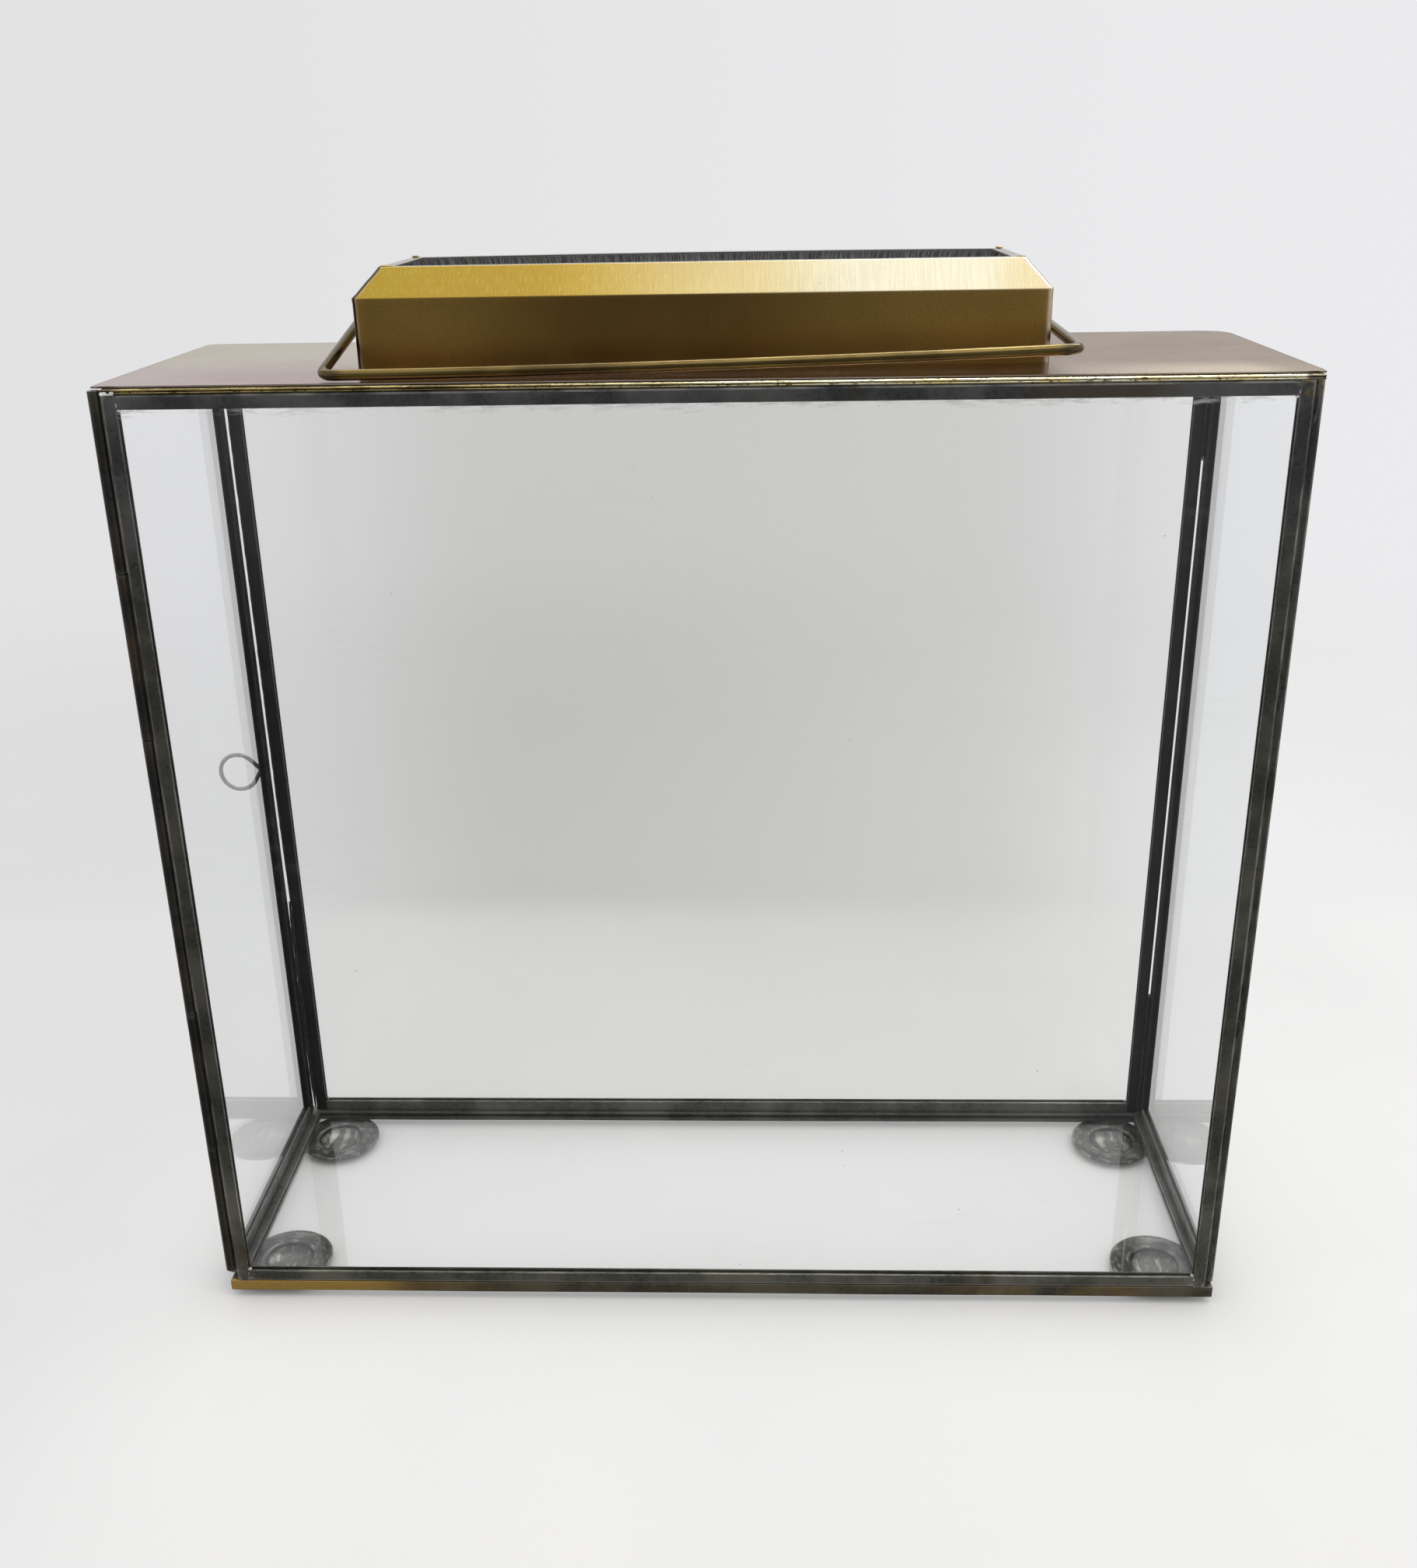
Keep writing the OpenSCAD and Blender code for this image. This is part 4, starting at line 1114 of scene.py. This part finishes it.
def blobs(name, items, mat, slot, replaced):
    """Several drops as one piece. items are (centre, size, limit)."""
    verts, faces, edge = [], [], []
    for k, (centre, size, limit) in enumerate(items):
        v, f, e = blob(centre, size, k * 1.7 + 0.3, limit)
        faces += [tuple(i + len(verts) for i in face) for face in f]
        verts += v
        edge += e
    make_piece(name, verts, faces, mat, "case", slot, replaced, edge, None, 70)


def joint_drops():
    """Small drops in the seams where each rail meets its stiles, kept under the faces of the case."""
    lo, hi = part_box("front_stile_left")
    lo_r, hi_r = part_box("front_stile_right")
    back_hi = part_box("back_stile_left")[1]
    rail_top_lo, rail_bottom_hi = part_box("front_rail_top")[0].z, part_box("front_rail_bottom")[1].z
    drops = []
    inside = ((lo.x, lo.y + 0.01 * MM, 0), (hi_r.x, back_hi.y - 0.01 * MM, hi.z))
    for x, s in ((hi.x, 1), (lo_r.x, -1)):
        for y, face in ((lo.y, 1), (back_hi.y, -1)):
            for z, up in ((rail_bottom_hi, 1), (rail_top_lo, -1)):
                p = Vector((x + s * 0.2 * MM, y + face * 0.72 * MM, z - up * 1.6 * MM))
                drops.append((p, (0.55 * MM, 0.68 * MM, 1.5 * MM), inside))
                p = Vector((x + s * 0.5 * MM, y + face * 1.1 * MM, z + up * 0.25 * MM))
                drops.append((p, (0.9 * MM, 0.9 * MM, 0.6 * MM), inside))
    face = ((lo.x, lo.y + 0.05 * MM, 0), (hi.x + 4 * MM, hi.y, hi.z + 1.5 * MM))
    for along, up, wide, tall in ((1.5, 0.2, 1.8, 0.9), (3.6, -0.3, 1.5, 0.7), (4.6, 0.4, 0.9, 0.9)):
        p = Vector((lo.x + along * MM, lo.y + 0.45 * MM, hi.z + up * MM))
        drops.append((p, (wide * MM, 0.6 * MM, tall * MM), face))
    return drops


blobs("joint_drops", joint_drops(), SOLDER, "solder", ())


def corner_beads():
    """Long beads up the right corners: four in front, and the lowest and highest of them behind."""
    lo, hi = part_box("corner_solder")
    foot_z, (edge_x, _, head_z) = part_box("front_stile_right")[0].z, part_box("front_stile_right")[1]
    tall = head_z - foot_z
    limit = ((edge_x - 1 * MM, lo.y, lo.z), tuple(hi))
    spots = ((0.6 * MM, 14 * MM), (tall * 0.32, 9 * MM), (tall * 0.68, 8 * MM), (tall - 17 * MM, 16 * MM))
    return [(Vector((edge_x + 0.7 * MM, y + s * 2.2 * MM, foot_z + start + length / 2)),
             (2.0 * MM, 1.7 * MM, length / 2), limit)
            for y, s in ((lo.y, 1), (hi.y, -1)) for start, length in spots[::1 if s > 0 else 3]]


blobs("corner_beads", corner_beads(), SEAM, "solder", ["corner_solder"])


def seams():
    """Dark solder that closes the slits at the rear corners."""
    back_lo, back_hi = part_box("back_stile_right")
    left_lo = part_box("back_stile_left")[0]
    verts, faces = [], []

    def seam(x, y, z0, z1, wide, deep, seed):
        steps = max(6, int((z1 - z0) / (1.5 * MM)))
        rings = []
        for i in range(steps + 1):
            t = i / steps
            thin = 0.35 + 0.65 * min(1.0, 8 * t, 8 * (1 - t))
            swell = thin * (1 + 0.25 * wander((0, 0, z0 + (z1 - z0) * t), 0.004, seed))
            rings.append([Vector((x + px * wide * swell, y + py * deep * swell, z0 + (z1 - z0) * t))
                          for px, py in arc2(0, 0, 1, 0, 315, 7)])
        v, f = loft(rings)
        faces.extend(tuple(i + len(verts) for i in face) for face in f)
        verts.extend(v)

    z0, z1 = back_lo.z, back_hi.z
    seam(back_hi.x + 0.3 * MM, back_lo.y, z0, z0 + 73 * MM, 1.0 * MM, 1.0 * MM, 3)
    seam(back_hi.x + 0.3 * MM, back_lo.y, z1 - 55 * MM, z1, 1.0 * MM, 1.0 * MM, 4)
    seam(left_lo.x - 0.80 * MM, back_lo.y + 0.70 * MM, z0 + 2 * MM, z0 + 127 * MM, 1.15 * MM, 0.70 * MM, 5)
    seam(left_lo.x - 0.22 * MM, back_lo.y + 0.62 * MM, z0 + 124 * MM, z1, 0.62 * MM, 0.58 * MM, 6)
    make_piece("rear_seams", verts, faces, SEAM, "case", "solder", (), [0.0] * len(verts), None, 60)


seams()


def lip_caps():
    """A flat drop on each corner of the vent's lip, the widest at the front left."""
    lo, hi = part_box("vent_solder")
    caps = []
    for x, sx in ((lo.x, 1), (hi.x, -1)):
        for y, sy in ((lo.y, 1), (hi.y, -1)):
            wide = 2.9 if sx > 0 and sy > 0 else 1.7
            caps.append((Vector((x + sx * wide * 0.9 * MM, y + sy * 1.7 * MM, lo.z - 0.1 * MM)),
                         (wide * MM, 1.6 * MM, 0.42 * MM), ((lo.x, lo.y, 0), tuple(hi))))
    return caps


blobs("lip_solder", lip_caps(), GOLD_SOLDER, "gold_solder", ["vent_solder"])


# ---------- stage, light and camera ----------

FLOOR_R, FLOOR_SIDES = 1.6, 96
FADE_FROM, FADE_TO = 0.60, 1.55     # distances between which the floor thins out


def floor():
    """Round paper floor that thins out grain by grain with distance, so that no edge of it is in any view."""
    mesh = bpy.data.meshes.new("floor")
    rim = [2 * math.pi * k / FLOOR_SIDES for k in range(FLOOR_SIDES)]
    mesh.from_pydata([(FLOOR_R * math.cos(a), FLOOR_R * math.sin(a), 0.0) for a in rim], [],
                     [tuple(range(FLOOR_SIDES))])
    mat, n = material("floor_paper")
    where = n.coords()
    pos = n.position()
    distance = n.new("ShaderNodeVectorMath", operation="LENGTH")
    n.link(where, distance.inputs[0])
    step = n.ramp(n.add(pos[Y], n.mul(n.noise(where, 2.5, 1), 0.02)), 0.315, 0.375)
    # beyond the step the floor takes a wall tone, with painted shade that darkens it towards the left
    wall = n.mix(n.ramp(pos[X], -0.2, 0.4), (0.79, 0.79, 0.795), (0.915, 0.915, 0.92))
    # painted light: paler near the case; painted shade: darker to the left
    near = n.mix(n.ramp(pos[Y], -0.34, -0.12), (0.875, 0.865, 0.86), (0.935, 0.93, 0.925))
    near = n.mix(n.ramp(pos[X], -0.18, -0.34), near, (0.82, 0.82, 0.82))
    colour = n.mix(step, near, wall)
    colour = n.mix(n.ramp(n.noise(where, 3.0, 3), 0.3, 0.8, 0, 0.5), colour, (0.83, 0.83, 0.83))
    grain = n.texture("ShaderNodeTexWhiteNoise", where, "Value")
    gone = n.math("LESS_THAN", grain, n.ramp(distance.outputs["Value"], FADE_FROM, FADE_TO))
    n.output(n.blend(gone, n.shader("BsdfDiffuse", Color=colour), n.shader("BsdfTransparent")))
    mesh.materials.append(mat)
    obj = bpy.data.objects.new("floor", mesh)
    bpy.context.scene.collection.objects.link(obj)
    obj.visible_glossy = False


floor()


def studio_world():
    """Pale surround for the eye, even light for matt surfaces, and for reflections a room that is dark in
    front, pale behind and bright overhead, with a narrow brilliant band that is strongest to the right."""
    world = bpy.data.worlds.new("studio")
    bpy.context.scene.world = world
    world.use_nodes = True
    n = Nodes(world.node_tree)
    split = n.new("ShaderNodeSeparateXYZ")
    n.link(n.new("ShaderNodeTexCoord").outputs["Generated"], split.inputs[0])
    x, y, z = split.outputs
    front = n.add(0.108, n.mul(n.off(x, -0.04), 0.62))
    low = n.mul(n.ramp(z, -0.12, -0.30), n.ramp(x, 0.10, -0.15, 0.35, 0.75))
    front = n.mul(front, n.sub(1.0, low))
    level = n.ramp(y, -0.30, 0.40, 0, 1)
    level = n.add(n.mul(level, 0.84), n.mul(n.sub(1.0, level), front))
    roof = n.ramp(z, 0.40, 0.80)
    level = n.add(n.mul(roof, 0.72), n.mul(n.sub(1.0, roof), level))
    band = n.mul(n.ramp(n.off(y, 0.50), 0.13, 0.07), n.ramp(z, 0.5, 0.7), n.ramp(x, -0.16, 0.16, 2.5, 9.0))
    patch = n.mul(n.ramp(x, -0.24, 0.06), n.ramp(z, 0.68, 0.84), n.ramp(y, 0.25, 0.0), 0.71)
    level = n.add(level, band, patch)
    room = n.new("ShaderNodeCombineColor")
    for socket, tint in zip(room.inputs, (1.0, 0.995, 0.98)):
        n.link(n.mul(level, tint), socket)
    seen = n.mix(n.ramp(x, -0.45, 0.45), (0.765, 0.765, 0.775), (0.835, 0.835, 0.85))
    even = n.mix(n.ramp(z, 0.25, 0.75), (1.0, 1.0, 1.0), (0.74, 0.74, 0.745))
    path = n.new("ShaderNodeLightPath").outputs
    unseen = n.blend(path["Is Glossy Ray"], n.shader("Background", Color=even),
                     n.shader("Background", Color=room.outputs[0]))
    n.output(n.blend(path["Is Camera Ray"], unseen, n.shader("Background", Color=seen)), "ShaderNodeOutputWorld")
    world.cycles.sampling_method = "NONE"


studio_world()


def area_light(name, place, target, size, power, colour=(1, 1, 1)):
    data = bpy.data.lights.new(name, "AREA")
    data.shape, data.size, data.size_y = "RECTANGLE", *size
    data.energy, data.color = power, colour
    obj = bpy.data.objects.new(name, data)
    obj.location = place
    obj.rotation_euler = (Vector(target) - Vector(place)).to_track_quat("-Z", "Y").to_euler()
    obj.visible_glossy = False
    bpy.context.scene.collection.objects.link(obj)


area_light("key", (0.40, -0.55, 1.62), (0.05, 0.0, 0.1), (1.5, 1.5), 7.5, (1.0, 0.985, 0.95))

scene = bpy.context.scene
scene.view_settings.view_transform = "Standard"
camera = bpy.data.objects.new("camera", bpy.data.cameras.new("camera"))
camera.data.sensor_width = 36
camera.data.lens = 36.27
camera.data.clip_start = 0.02
camera.location = (0.0340, -0.6653, 0.4962)
camera.rotation_euler = Euler([math.radians(a) for a in (68.17, 0.952, 1.792)], "XYZ")
scene.collection.objects.link(camera)
scene.camera = camera
